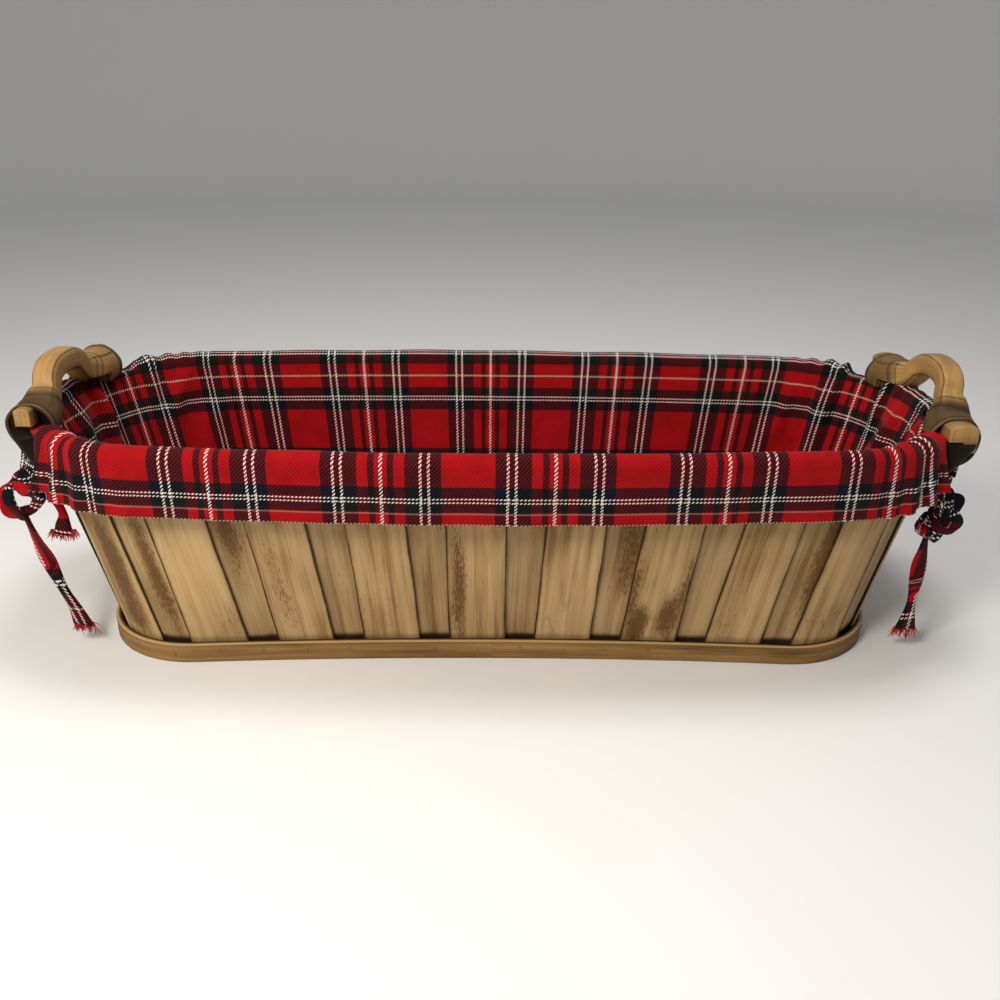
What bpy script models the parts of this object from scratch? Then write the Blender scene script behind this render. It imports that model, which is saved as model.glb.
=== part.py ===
"""Lined gift basket: a long shallow basket of thin wood slats with a cloth liner and two bamboo handles.

Metres, +Z up, the long way along X. The origin is the middle of the flat underside.
Everything in the wall is placed by one outline, a rounded rectangle whose size changes with height:
a place along it is a share of the way round, counted from the middle of the front, and an outset is
how far outside the face of the outer slats a point lies.
"""

import math

import bmesh
import bpy
import numpy as np
from mathutils import Vector

# Outline of the outer slats' outer face, at the foot and at the rim, from the middle of each side
FOOT_HALF_LENGTH = 0.2123
FOOT_END_STRAIGHT = 0.0226
FOOT_CORNER_RADIUS = 0.0531
FOOT_SIDE_BOW = -0.0090
RIM_HALF_LENGTH = 0.2454
RIM_END_STRAIGHT = 0.0070
RIM_CORNER_RADIUS = 0.0732
RIM_SIDE_BOW = 0.0150
RIM_HEIGHT = 0.1218

# An end is a short straight run between two corners, so the width follows from both
FOOT_HALF_WIDTH = FOOT_END_STRAIGHT + FOOT_CORNER_RADIUS
RIM_HALF_WIDTH = RIM_END_STRAIGHT + RIM_CORNER_RADIUS

# Clearances between pieces, and how far a cut runs past what it cuts
GAP = 0.0003
CLOTH_GAP = 0.0006
LAYER_GAP = 0.0004
OVERRUN = 0.0100

# How finely a quarter of the outline is divided
SIDE_CELLS = 8
CORNER_CELLS = 12
END_CELLS = 1

# Bottom hoop and floor panel
HOOP_HEIGHT = 0.0109
HOOP_THICKNESS = 0.0030
HOOP_EDGE_ROUNDING = 0.0007
PANEL_THICKNESS = 0.0060

# Slats, in two layers
SLAT_COUNT = 23
SLAT_WIDTH = 0.0315
SLAT_THICKNESS = 0.0012
SLAT_TOP_ABOVE_RIM = 0.0008
FRONT_SLAT_SHIFT = -0.0075
STRAIGHT_SLAT_ANGLE = math.radians(2)
STRAIGHT_SLAT_CELLS = 2
STRAIGHT_SLAT_ROWS = 4
BENT_SLAT_CELLS = 5
BENT_SLAT_ROWS = 5

# Rim hoops, both under the cloth
RIM_HOOP_THICKNESS = 0.0025
RIM_HOOP_HEIGHT = 0.0160

# Liner
CLOTH_THICKNESS = 0.0012
SKIRT_DEPTH = 0.0275
FLOOR_FOLD = 0.0030
LINER_FLOOR_MARGIN = 0.0350
FOLD_CELLS = 4
SLIT_NEAR_MARGIN = 0.0183
SLIT_FAR_MARGIN = 0.0167
SLIT_DEPTH = 0.0020
SLIT_FLARE = 0.0045
SLIT_FLARE_REACH = 0.0350
FLAP_FLARE_SHARE = 0.5
GATHER_HEIGHT = 0.0022
FLAP_CELLS = 2
SLIT_CELLS = 2
LINER_CORNER_CELLS = 5
LINER_SIDE_CELLS = 3
LINER_WALL_CELLS = 3

# Handles: the arch and its two knees
LEG_REACH = 0.0513
BAR_THICKNESS = 0.0125
BAR_SIDES = 16
BAR_SQUARENESS = 4.0
ROUND_SQUARENESS = 2.0
ARCH_TOP = 0.1515
LEFT_ARCH_LEAN = 0.0040
RIGHT_ARCH_LEAN = 0.0120
NECK_SPREAD = 0.0013
NECK_HEIGHT = 0.1345
FLARE_LENGTH = 0.0252
KNEE_INSET = 0.0028
KNEE_RADIUS = 0.0143
LEFT_KNEE_HEIGHT = 0.1245
RIGHT_KNEE_HEIGHT = 0.1195
LEFT_KNEE_OUT = 0.0006
RIGHT_KNEE_OUT = 0.0047
RING_PROUD = 0.0008
RING_WIDTH = 0.0016
STUB_LENGTH = 0.0105
STUB_RADIUS = 0.0125
STUB_HALF_WIDTH = 0.0065
STUB_RISE = 0.0010
STUB_CELLS = 6
SADDLE_MARGIN = 0.0030

# What follows the leg: the knee, the cut end and the arch, and the slit that the leg comes down in
KNEE_REACH = LEG_REACH - KNEE_INSET
STUB_REACH = KNEE_REACH + STUB_LENGTH
NECK_REACH = KNEE_REACH - FLARE_LENGTH
ARCH_HALF_WIDTH = NECK_REACH - NECK_SPREAD
SLIT_START = LEG_REACH - SLIT_NEAR_MARGIN
SLIT_END = LEG_REACH + SLIT_FAR_MARGIN
SADDLE_HALF_WIDTH = SLIT_START + SADDLE_MARGIN

# The arch as shares of its half width, and drops from its middle line's top as shares of the bar
ARCH_SHARES = [(0.0, 0.0), (0.42, 0.06), (0.75, 0.30), (0.95, 0.70)]
# From neck to ring: shares of the way out, down, in size and in roundness
FLARE_SHARES = [(0.0, 0.0, 0.0, 0.3), (0.25, 0.2, 0.1, 0.5), (0.55, 0.8, 0.65, 0.9)]

# Handles: the tongue below each knee, its heights and thicknesses as shares of the head's
TONGUE_WIDTH = 0.0150
TONGUE_FOOT = 0.0880
TONGUE_HEAD = 0.1220
LEFT_TONGUE_HEAD_THICKNESS = 0.0095
RIGHT_TONGUE_HEAD_THICKNESS = 0.0145
TONGUE_SHARES = [(0.0, 0.22), (0.30, 0.30), (0.52, 0.53), (0.75, 0.80), (1.0, 1.0)]
TONGUE_CELLS = 4

# Ties: a strap over each slit, a knot, and strips that hang from it
STRAP_WIDTH = 0.0070
STRAP_THICKNESS = 0.0016
STRAP_LAP = 0.0040
LEFT_STRAP_RISE = 0.0090
RIGHT_STRAP_RISE = 0.0050
BACK_STRAP_RISE = 0.0070
KNOT_RADIUS = 0.0070
KNOT_SIDES = 12
KNOT_RINGS = 8
LOOP_CELLS = 20

# The straps' heights, from the foot of the tongue that they cross
LEFT_STRAP_HEIGHT = TONGUE_FOOT + LEFT_STRAP_RISE
RIGHT_STRAP_HEIGHT = TONGUE_FOOT + RIGHT_STRAP_RISE
BACK_STRAP_HEIGHT = TONGUE_FOOT + BACK_STRAP_RISE

# Lumps of a knot: along, out and up from the strap, and half sizes the same three ways, as shares
# of the knot's radius
PLAIN_KNOT_SHARES = [(0.0, 0.95, 0.0, 1.0, 0.9, 1.1)]
RIGHT_KNOT_SHARES = [
    (0.35, 0.7, -1.0, 1.25, 0.8, 1.75),
    (1.2, 0.05, -2.2, 0.85, 0.85, 1.05),
    (1.3, 0.6, -2.7, 0.4, 0.5, 0.8),
]
# The left bow's loop: its middle along, out and up, its mean half sizes, and its strip's half sizes
LOOP_SHARES = (1.0, 1.65, -0.85, 1.4, 1.15, 0.45, 0.22)
# Hanging strips: along, out and up, and half width and half thickness, as shares of the knot's radius
LEFT_TASSEL_SHARES = [
    (1.6, 0.25, 0.0, 0.33, 0.09),
    (1.6, -0.5, -1.2, 0.33, 0.15),
    (1.55, -0.85, -2.4, 0.5, 0.18),
    (1.35, -0.6, -4.1, 1.0, 0.18),
]
LEFT_TAIL_SHARES = [
    (1.25, 1.55, -2.53, 0.42, 0.14),
    (1.25, 0.9, -5.0, 0.48, 0.13),
    (1.25, 0.1, -8.5, 0.42, 0.12),
    (1.25, -0.9, -12.3, 0.9, 0.10),
]
RIGHT_TAIL_SHARES = [
    (1.2, 0.05, -3.30, 0.42, 0.14),
    (1.2, 0.0, -6.0, 0.36, 0.12),
    (1.2, 0.0, -9.0, 0.42, 0.12),
    (1.2, -0.1, -11.6, 0.8, 0.10),
]
BACK_TAIL_SHARES = [
    (0.0, 0.95, 0.0, 0.40, 0.13),
    (0.5, 0.6, -1.5, 0.45, 0.13),
    (0.8, 0.2, -3.8, 0.50, 0.11),
]

BAMBOO = (0.55, 0.36, 0.18)
OUTER_WOOD = (0.62, 0.45, 0.27)
INNER_WOOD = (0.50, 0.35, 0.20)
HOOP_WOOD = (0.42, 0.25, 0.12)
RED_CLOTH = (0.50, 0.03, 0.04)
WOOD_ROUGHNESS = 0.65
BAMBOO_ROUGHNESS = 0.45
CLOTH_ROUGHNESS = 0.90
WOOD_SMOOTH_ANGLE = math.radians(35)
CLOTH_SMOOTH_ANGLE = math.radians(60)

# Faces of the layers in the wall, as outsets
WALL_INNER_OUTSET = -2 * SLAT_THICKNESS - LAYER_GAP
RIM_OUTER_FACE = GAP + RIM_HOOP_THICKNESS
RIM_INNER_FACE = WALL_INNER_OUTSET - GAP - RIM_HOOP_THICKNESS
SKIRT_OUTSET = RIM_OUTER_FACE + CLOTH_GAP + CLOTH_THICKNESS / 2


def outline_sizes(height):
    """Half length, half width, corner radius and side bow at a height: upright inside the bottom hoop,
    and from its top edge a straight slope to the rim."""
    share = max(0.0, (height - HOOP_HEIGHT) / (RIM_HEIGHT - HOOP_HEIGHT))
    foot = np.array([FOOT_HALF_LENGTH, FOOT_HALF_WIDTH, FOOT_CORNER_RADIUS, FOOT_SIDE_BOW])
    rim = np.array([RIM_HALF_LENGTH, RIM_HALF_WIDTH, RIM_CORNER_RADIUS, RIM_SIDE_BOW])
    return foot + (rim - foot) * share


def perimeter(height):
    """The length of the rounded rectangle at a height."""
    half_length, half_width, radius, _ = outline_sizes(height)
    return 4 * (half_length - radius) + 4 * (half_width - radius) + 2 * math.pi * radius


def wall_points(along, height, outset):
    """Points at shares of the way round, as rows of x, y, z.

    The way round is nine runs: half the front, a corner, an end, a corner, the back, and so on. A
    point is its run's straight or arc point, moved out along the run's normal by the outset, and the
    long sides bow out by a parabola that is zero at the ends."""
    half_length, half_width, radius, bow = outline_sizes(height)
    side, end, arc = half_length - radius, half_width - radius, math.pi * radius / 2
    runs = [side, arc, 2 * end, arc, 2 * side, arc, 2 * end, arc, side]
    first = np.array([0, 0, -end, 0, -side, 0, -end, 0, -side])
    starts = np.concatenate([[0], np.cumsum(runs)])
    place = (np.atleast_1d(np.asarray(along, float)) % 1.0) * starts[-1]
    run = np.clip(np.searchsorted(starts, place, side="right") - 1, 0, len(runs) - 1)
    into = place - starts[run]
    quarter = (run + 1) // 2
    corner = run % 2 == 1
    turn = np.where(corner, into / radius, 0.0) + (quarter - corner) * math.pi / 2
    normal = np.stack([np.sin(turn), -np.cos(turn)], axis=1)
    tangent = np.stack([np.cos(turn), np.sin(turn)], axis=1)
    corner_middle = np.array([[side, -end], [side, end], [-side, end], [-side, -end]])
    run_middle = np.array([[0, -half_width], [half_length, 0], [0, half_width], [-half_length, 0]])
    flat = run_middle[quarter % 4] + tangent * (first[run] + into)[:, None]
    bent = corner_middle[(quarter - 1) % 4] + normal * radius
    points = np.where(corner[:, None], bent, flat)
    points = points + normal * np.asarray(outset, float).reshape(-1, 1)
    reach = np.clip(np.abs(points[:, 0]) / half_length, 0, 1)
    points[:, 1] += np.sign(points[:, 1]) * bow * (1 - reach**2)
    return np.column_stack([points, np.full(len(points), height)])


def wall_normal(along, height):
    """The outward direction of the wall in plan at one place."""
    near = wall_points(along, height, 0)[0]
    far = wall_points(along, height, GAP)[0]
    return Vector(far - near).normalized()


def finish(name, mesh, colour, roughness, smooth_angle=WOOD_SMOOTH_ANGLE):
    """One named object with its own material, and its round parts smooth."""
    material = bpy.data.materials.new(name)
    material.use_nodes = True
    shader = material.node_tree.nodes["Principled BSDF"]
    shader.inputs["Base Color"].default_value = (*colour, 1)
    shader.inputs["Roughness"].default_value = roughness
    shader.inputs["Metallic"].default_value = 0
    mesh.materials.append(material)
    mesh.shade_smooth()
    mesh.set_sharp_from_angle(angle=smooth_angle)
    made = bpy.data.objects.new(name, mesh)
    bpy.context.scene.collection.objects.link(made)
    return made


def mesh_of(name, points, faces):
    """A mesh with its normals outwards."""
    mesh = bpy.data.meshes.new(name)
    mesh.from_pydata([tuple(point) for point in points], [], faces)
    work = bmesh.new()
    work.from_mesh(mesh)
    bmesh.ops.recalc_face_normals(work, faces=work.faces)
    work.to_mesh(mesh)
    work.free()
    return mesh


def ring_faces(rows, columns):
    """Quads between closed rings: each row of points joins the next row, and the last the first."""
    faces = []
    for row in range(rows):
        here, above = row * columns, (row + 1) % rows * columns
        for column in range(columns):
            beside = (column + 1) % columns
            faces.append((here + column, here + beside, above + beside, above + column))
    return faces


def tube_faces(rows, columns):
    """Quads along a tube of closed sections, with a cap on each end."""
    faces = ring_faces(rows, columns)[: (rows - 1) * columns]
    faces.append(tuple(range(columns)))
    faces.append(tuple(range((rows - 1) * columns, rows * columns)))
    return faces


def round_stations():
    """Shares of the way round for a hoop: close together on the corners, where it bends."""
    half_length, _, radius, _ = outline_sizes(RIM_HEIGHT)
    total = perimeter(RIM_HEIGHT)
    side = (half_length - radius) / total
    arc = math.pi * radius / 2 / total
    quarter = np.concatenate(
        [
            np.linspace(0, side, SIDE_CELLS + 1)[:-1],
            np.linspace(side, side + arc, CORNER_CELLS + 1)[:-1],
            np.linspace(side + arc, 0.25, END_CELLS + 1)[:-1],
        ]
    )
    back = 0.5 - quarter[::-1]
    half = np.concatenate([quarter, [0.25], back[:-1]])
    return np.concatenate([half, [0.5], 1 - half[::-1][:-1]])


def hoop(name, profile, colour):
    """A bent band: its profile, as outsets and heights, carried round the outline."""
    stations = round_stations()
    rows = [wall_points(stations, height, outset) for outset, height in profile]
    mesh = mesh_of(name, np.vstack(rows), ring_faces(len(profile), len(stations)))
    return finish(name, mesh, colour, WOOD_ROUGHNESS)


def filled_outline(name, outset, heights):
    """A solid slab inside the outline, as a stack of outlines at the given heights, closed at both ends."""
    stations = round_stations()
    rows = [wall_points(stations, height, outset) for height in heights]
    return mesh_of(name, np.vstack(rows), tube_faces(len(rows), len(stations)))


def slat_mesh(name, middle, outer_outset):
    """A thin strip of the wall: an outer and an inner sheet of points, joined round their edges.

    It keeps its width at every height, so it takes a smaller share of the way round at the rim."""
    top = RIM_HEIGHT + SLAT_TOP_ABOVE_RIM
    bend = 0.0
    for height in (HOOP_HEIGHT, RIM_HEIGHT):
        share = SLAT_WIDTH / perimeter(height) / 2
        bend = max(bend, wall_normal(middle - share, height).angle(wall_normal(middle + share, height)))
    bent = bend > STRAIGHT_SLAT_ANGLE
    cells = BENT_SLAT_CELLS if bent else STRAIGHT_SLAT_CELLS
    heights = [GAP] + list(np.linspace(HOOP_HEIGHT, top, BENT_SLAT_ROWS if bent else STRAIGHT_SLAT_ROWS))
    across = np.linspace(-SLAT_WIDTH / 2, SLAT_WIDTH / 2, cells + 1)
    sheets = []
    for outset in (outer_outset, outer_outset - SLAT_THICKNESS):
        for height in heights:
            sheets.append(wall_points(middle + across / perimeter(height), height, outset))
    columns, rows = cells + 1, len(heights)
    inner = rows * columns
    faces = []
    for row in range(rows - 1):
        for column in range(cells):
            first = row * columns + column
            quad = (first, first + 1, first + columns + 1, first + columns)
            faces.append(quad)
            faces.append(tuple(inner + corner for corner in reversed(quad)))
        for edge in (row * columns, row * columns + cells):
            faces.append((edge, edge + columns, inner + edge + columns, inner + edge))
    for edge in (0, (rows - 1) * columns):
        for column in range(cells):
            first = edge + column
            faces.append((first, first + 1, inner + first + 1, inner + first))
    return mesh_of(name, np.vstack(sheets), faces)


def make_slats():
    """Outer slats at an even pitch round the foot, and inner slats behind the gaps between them."""
    pitch = 1.0 / SLAT_COUNT
    shift = FRONT_SLAT_SHIFT / perimeter(0)
    inner_outset = -SLAT_THICKNESS - LAYER_GAP
    for index in range(SLAT_COUNT):
        place = shift + index * pitch
        outer_name = f"outer_slat_{index + 1:02d}"
        inner_name = f"inner_slat_{index + 1:02d}"
        outer_mesh = slat_mesh(outer_name, place, 0)
        inner_mesh = slat_mesh(inner_name, place + pitch / 2, inner_outset)
        finish(outer_name, outer_mesh, OUTER_WOOD, WOOD_ROUGHNESS)
        finish(inner_name, inner_mesh, INNER_WOOD, WOOD_ROUGHNESS)


def make_hoops():
    """The bottom hoop with its eased top edge, and the two rim hoops that clamp the slats."""
    outside = GAP + HOOP_THICKNESS
    shoulder = HOOP_HEIGHT - HOOP_EDGE_ROUNDING
    profile = [
        (GAP, 0),
        (outside, 0),
        (outside, shoulder),
        (outside - HOOP_EDGE_ROUNDING, HOOP_HEIGHT),
        (GAP, HOOP_HEIGHT),
    ]
    hoop("bottom_hoop", profile, HOOP_WOOD)
    low, high = RIM_HEIGHT - RIM_HOOP_HEIGHT, RIM_HEIGHT - GAP
    outer = [(GAP, low), (RIM_OUTER_FACE, low), (RIM_OUTER_FACE, high), (GAP, high)]
    hoop("rim_hoop_outer", outer, INNER_WOOD)
    near = WALL_INNER_OUTSET - GAP
    inner = [(RIM_INNER_FACE, low), (near, low), (near, high), (RIM_INNER_FACE, high)]
    hoop("rim_hoop_inner", inner, INNER_WOOD)


def make_floor_panel():
    """The board that the slats and the hoop are nailed to."""
    mesh = filled_outline("floor_panel", WALL_INNER_OUTSET - GAP, [0, PANEL_THICKNESS])
    finish("floor_panel", mesh, INNER_WOOD, WOOD_ROUGHNESS)


def quarter_distances():
    """Distances along the rim from the middle of an end to the middle of a long side, in four spans:
    the end flap, the slit round the handle's leg, the rest of the corner, and half the side."""
    _, half_width, radius, _ = outline_sizes(RIM_HEIGHT)
    corner_end = (half_width - radius) + math.pi * radius / 2
    quarter = perimeter(RIM_HEIGHT) / 4
    return np.concatenate(
        [
            np.linspace(0, SLIT_START, FLAP_CELLS + 1)[:-1],
            np.linspace(SLIT_START, SLIT_END, SLIT_CELLS + 1)[:-1],
            np.linspace(SLIT_END, corner_end, LINER_CORNER_CELLS + 1)[:-1],
            np.linspace(corner_end, quarter, LINER_SIDE_CELLS + 1),
        ]
    )


def skirt_spread(reach):
    """How far the skirt's hem stands out from upright at distances from an end's middle: it flares
    towards both edges of a slit, and beyond the slit every other station is gathered outwards."""
    steps = quarter_distances()
    flare = SLIT_FLARE * np.clip(1 - np.abs(steps - SLIT_END) / SLIT_FLARE_REACH, 0, 1)
    flap = SLIT_FLARE * FLAP_FLARE_SHARE * steps / SLIT_START
    flare = np.where(steps < SLIT_START + GAP, flap, flare)
    gathered = (steps > SLIT_END) & (steps < SLIT_END + SLIT_FLARE_REACH)
    gather = np.where(gathered, GATHER_HEIGHT * (np.arange(len(steps)) % 2), 0.0)
    return np.interp(reach, steps, flare + gather)


def skirt_points(along, reach, height, beyond):
    """Points of the hanging skirt's middle surface at one height, and beyond it by an outset. The
    skirt hangs upright from the rim, apart from its spread, which grows down to the hem."""
    level = wall_points(along, RIM_HEIGHT, 0)
    normal = (wall_points(along, RIM_HEIGHT, GAP) - level) / GAP
    drop = (RIM_HEIGHT - height) / SKIRT_DEPTH
    amount = SKIRT_OUTSET + beyond + drop * skirt_spread(reach)
    points = level + normal * np.asarray(amount).reshape(-1, 1)
    points[:, 2] = height
    return points


def make_liner():
    """The cloth bag: one sheet from its floor up the wall, over the rim and down as a skirt.

    The sheet is a grid of stations round and rows up and over, solidified. The skirt and the fold
    are left out at the four slits."""
    steps = quarter_distances()
    total = perimeter(RIM_HEIGHT)
    last = len(steps) - 1
    along, reach, slit_columns = [], [], set()
    for end in (0.25, 0.75):
        for direction in (-1, 1):
            for index in range(last):
                step = index if direction > 0 else last - index
                cell = step if direction > 0 else step - 1
                if FLAP_CELLS <= cell < FLAP_CELLS + SLIT_CELLS:
                    slit_columns.add(len(along))
                along.append(end + direction * steps[step] / total)
                reach.append(steps[step])
    along, reach = np.array(along), np.array(reach)

    half = CLOTH_THICKNESS / 2
    inside = RIM_INNER_FACE - CLOTH_GAP - half
    floor_level = PANEL_THICKNESS + GAP + half
    wall_foot = WALL_INNER_OUTSET - CLOTH_GAP - half
    fold_radius = (SKIRT_OUTSET - inside) / 2
    fold_middle = (SKIRT_OUTSET + inside) / 2
    low, high = floor_level + FLOOR_FOLD, RIM_HEIGHT - RIM_HOOP_HEIGHT - FLOOR_FOLD
    inner_rows = [(wall_foot - LINER_FLOOR_MARGIN, floor_level), (wall_foot - FLOOR_FOLD, floor_level)]
    for share in np.linspace(0, 1, LINER_WALL_CELLS + 1):
        inner_rows.append((wall_foot - GAP + (inside - wall_foot + GAP) * share, low + (high - low) * share))
    inner_rows.extend([(inside, RIM_HEIGHT - SLIT_DEPTH), (inside, RIM_HEIGHT)])
    slit_row = len(inner_rows) - 2
    points = [wall_points(along, height, outset) for outset, height in inner_rows]
    for cell in range(1, FOLD_CELLS):
        turn = math.pi * cell / FOLD_CELLS
        row = wall_points(along, RIM_HEIGHT, fold_middle - fold_radius * math.cos(turn))
        row[:, 2] += fold_radius * math.sin(turn)
        points.append(row)
    for drop in (0, SKIRT_DEPTH / 2, SKIRT_DEPTH):
        points.append(skirt_points(along, reach, RIM_HEIGHT - drop, 0))

    count = len(along)
    faces = [tuple(reversed(range(count)))]
    for row in range(len(points) - 1):
        here, above = row * count, (row + 1) * count
        for column in range(count):
            if row >= slit_row and column in slit_columns:
                continue
            beside = (column + 1) % count
            faces.append((here + column, here + beside, above + beside, above + column))
    mesh = bpy.data.meshes.new("liner")
    mesh.from_pydata([tuple(point) for point in np.vstack(points)], [], faces)
    work = bmesh.new()
    work.from_mesh(mesh)
    loose = [corner for corner in work.verts if not corner.link_faces]
    bmesh.ops.delete(work, geom=loose, context="VERTS")
    work.to_mesh(mesh)
    work.free()
    made = finish("liner", mesh, RED_CLOTH, CLOTH_ROUGHNESS, CLOTH_SMOOTH_ANGLE)
    cloth = made.modifiers.new("cloth", "SOLIDIFY")
    cloth.thickness = CLOTH_THICKNESS
    cloth.offset = 0
    cloth.use_even_offset = True


def join_with(made, others, operation):
    """A Boolean of this object with each of the others, which stay as hidden guides."""
    for other in others:
        other.hide_render = True
        other.display_type = "WIRE"
        cut = made.modifiers.new(operation.lower(), "BOOLEAN")
        cut.operation = operation
        cut.object = other
        cut.solver = "EXACT"


def guide(name, mesh):
    """An object that only shapes another one."""
    made = bpy.data.objects.new(name, mesh)
    bpy.context.scene.collection.objects.link(made)
    return made


def box_guide(name, x_range, y_range, z_range):
    """A plain box as a guide, from the sorted ends of its three ranges."""
    (x0, x1), (y0, y1), (z0, z1) = sorted(x_range), sorted(y_range), sorted(z_range)
    corners = [(x, y, z) for z in (z0, z1) for x, y in ((x0, y0), (x1, y0), (x1, y1), (x0, y1))]
    return guide(name, mesh_of(name, corners, tube_faces(2, 4)))


def section(centre, along, side, half_size, squareness):
    """One closed section of a bar: a squared circle, |x|^n + |y|^n = 1, scaled to the half size."""
    along = along.normalized()
    across = (side - along * side.dot(along)).normalized()
    upwards = along.cross(across)
    points = []
    for step in range(BAR_SIDES):
        angle = 2 * math.pi * (step + 0.5) / BAR_SIDES
        cosine, sine = math.cos(angle), math.sin(angle)
        size = half_size * (abs(cosine) ** squareness + abs(sine) ** squareness) ** (-1 / squareness)
        points.append(centre + across * (cosine * size) + upwards * (sine * size))
    return points


def knee_plane(knee_out):
    """How far out a knee's middle is: outside the rim hoop where the handle's leg comes down."""
    leg = 0.25 - LEG_REACH / perimeter(RIM_HEIGHT)
    return wall_points(leg, RIM_HEIGHT, RIM_OUTER_FACE + knee_out)[0][0]


def handle_line(sign, plane, knee_height, arch_lean):
    """Half of a handle's middle line, from the top of the arch to the far side of the knee's ring,
    with the half size and squareness of the bar at each point."""
    bar = BAR_THICKNESS / 2
    arch = ARCH_TOP - bar
    knee = KNEE_RADIUS - RING_PROUD
    ring_start, ring_end = KNEE_REACH - RING_WIDTH, KNEE_REACH + RING_WIDTH
    ring_near, ring_far = KNEE_REACH - RING_WIDTH / 2, KNEE_REACH + RING_WIDTH / 2
    table = []
    for out_share, drop_share in ARCH_SHARES:
        table.append((out_share * ARCH_HALF_WIDTH, arch - drop_share * BAR_THICKNESS, bar, BAR_SQUARENESS))
    for out_share, down_share, size_share, round_share in FLARE_SHARES:
        reach = NECK_REACH + (ring_start - NECK_REACH) * out_share
        height = NECK_HEIGHT + (knee_height - NECK_HEIGHT) * down_share
        squareness = BAR_SQUARENESS + (ROUND_SQUARENESS - BAR_SQUARENESS) * round_share
        table.append((reach, height, bar + (knee - bar) * size_share, squareness))
    table.append((ring_start, knee_height, knee, ROUND_SQUARENESS))
    table.append((ring_near, knee_height, KNEE_RADIUS, ROUND_SQUARENESS))
    table.append((ring_far, knee_height, KNEE_RADIUS, ROUND_SQUARENESS))
    table.append((ring_end, knee_height, knee, ROUND_SQUARENESS))
    line = []
    for reach, height, size, squareness in table:
        lean = arch_lean * max(0.0, (height - knee_height) / (ARCH_TOP - knee_height))
        line.append((Vector((sign * (plane + lean), reach, height)), size, squareness))
    return line


def stub_guide(name, way, plane, knee_height):
    """The cut end beyond a knee's ring: a block with the bar's round top, from inside the ring."""
    profile = [(plane - STUB_HALF_WIDTH, knee_height + STUB_RISE)]
    for share in np.linspace(-1, 1, STUB_CELLS + 1):
        across = STUB_HALF_WIDTH * share
        profile.append((plane + across, knee_height + math.sqrt(STUB_RADIUS**2 - across**2)))
    profile.append((plane + STUB_HALF_WIDTH, knee_height + STUB_RISE))
    ends = (way * KNEE_REACH, way * STUB_REACH)
    corners = [(x, y, z) for y in ends for x, z in profile]
    return guide(name, mesh_of(name, corners, tube_faces(2, len(profile))))


def tongue_thickness(end, height):
    """The thickness at a height of the tongues at one end: thin at the foot, and thick at the head."""
    head = LEFT_TONGUE_HEAD_THICKNESS if end > 0.5 else RIGHT_TONGUE_HEAD_THICKNESS
    shares = np.array(TONGUE_SHARES)
    heights = TONGUE_FOOT + (TONGUE_HEAD - TONGUE_FOOT) * shares[:, 0]
    return float(np.interp(height, heights, shares[:, 1] * head))


def tongue_guide(name, end, middle):
    """The tongue that runs down the outside of the wall, centred on a place along it. It starts inside
    the wall, and the handle's wall notch gives it its inner face."""
    across = np.linspace(-TONGUE_WIDTH / 2, TONGUE_WIDTH / 2, TONGUE_CELLS + 1) / perimeter(RIM_HEIGHT)
    near = RIM_OUTER_FACE + GAP
    rows = []
    for share, _ in TONGUE_SHARES:
        height = TONGUE_FOOT + (TONGUE_HEAD - TONGUE_FOOT) * share
        inner = wall_points(middle + across, height, 0)
        outer = wall_points(middle + across, height, near + tongue_thickness(end, height))
        rows.append(np.vstack([inner, outer[::-1]]))
    return guide(name, mesh_of(name, np.vstack(rows), tube_faces(len(rows), len(rows[0]))))


def make_handle(name, sign, knee_out, knee_height, arch_lean):
    """A bent bamboo handle: the arch and its two knees as one swept bar, a cut end beyond each knee's
    ring, a tongue below it, and notches where the handle sits over the rim."""
    plane = knee_plane(knee_out)
    half = handle_line(sign, plane, knee_height, arch_lean)
    mirrored = [(Vector((p.x, -p.y, p.z)), size, squareness) for p, size, squareness in reversed(half[1:])]
    line = mirrored + half
    places = [place for place, _, _ in line]
    side = Vector((sign, 0, 0))
    points = []
    for index, (place, size, squareness) in enumerate(line):
        before = places[max(0, index - 1)]
        after = places[min(len(places) - 1, index + 1)]
        points.extend(section(place, after - before, side, size, squareness))
    made = finish(name, mesh_of(name, points, tube_faces(len(line), BAR_SIDES)), BAMBOO, BAMBOO_ROUGHNESS)

    end = 0.25 if sign > 0 else 0.75
    added = []
    for way in (-1, 1):
        face = "back" if way > 0 else "front"
        added.append(stub_guide(f"{name}_{face}_stub", way, sign * plane, knee_height))
        middle = end + sign * way * LEG_REACH / perimeter(RIM_HEIGHT)
        added.append(tongue_guide(f"{name}_{face}_tongue", end, middle))
    join_with(made, added, "UNION")

    low, rim_top = TONGUE_FOOT - OVERRUN, RIM_HEIGHT + SLAT_TOP_ABOVE_RIM + GAP
    wall = guide(f"{name}_wall", filled_outline(name, RIM_OUTER_FACE + GAP, [low, rim_top]))
    fold_top = RIM_HEIGHT + (SKIRT_OUTSET - RIM_INNER_FACE + CLOTH_GAP) / 2 + CLOTH_THICKNESS + GAP
    reach = KNEE_RADIUS + OVERRUN
    saddle = box_guide(
        f"{name}_saddle",
        (sign * (plane - reach), sign * (plane + reach)),
        (-SADDLE_HALF_WIDTH - GAP, SADDLE_HALF_WIDTH + GAP),
        (low, fold_top),
    )
    join_with(made, [saddle, wall], "DIFFERENCE")


def strip_mesh(name, stations, closed=False):
    """A flat strip through stations of middle, half width vector and half thickness vector."""
    points = []
    for middle, wide, thick in stations:
        points.extend([middle - wide - thick, middle + wide - thick])
        points.extend([middle + wide + thick, middle - wide + thick])
    faces = ring_faces(len(stations), 4) if closed else tube_faces(len(stations), 4)
    return mesh_of(name, points, faces)


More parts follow.
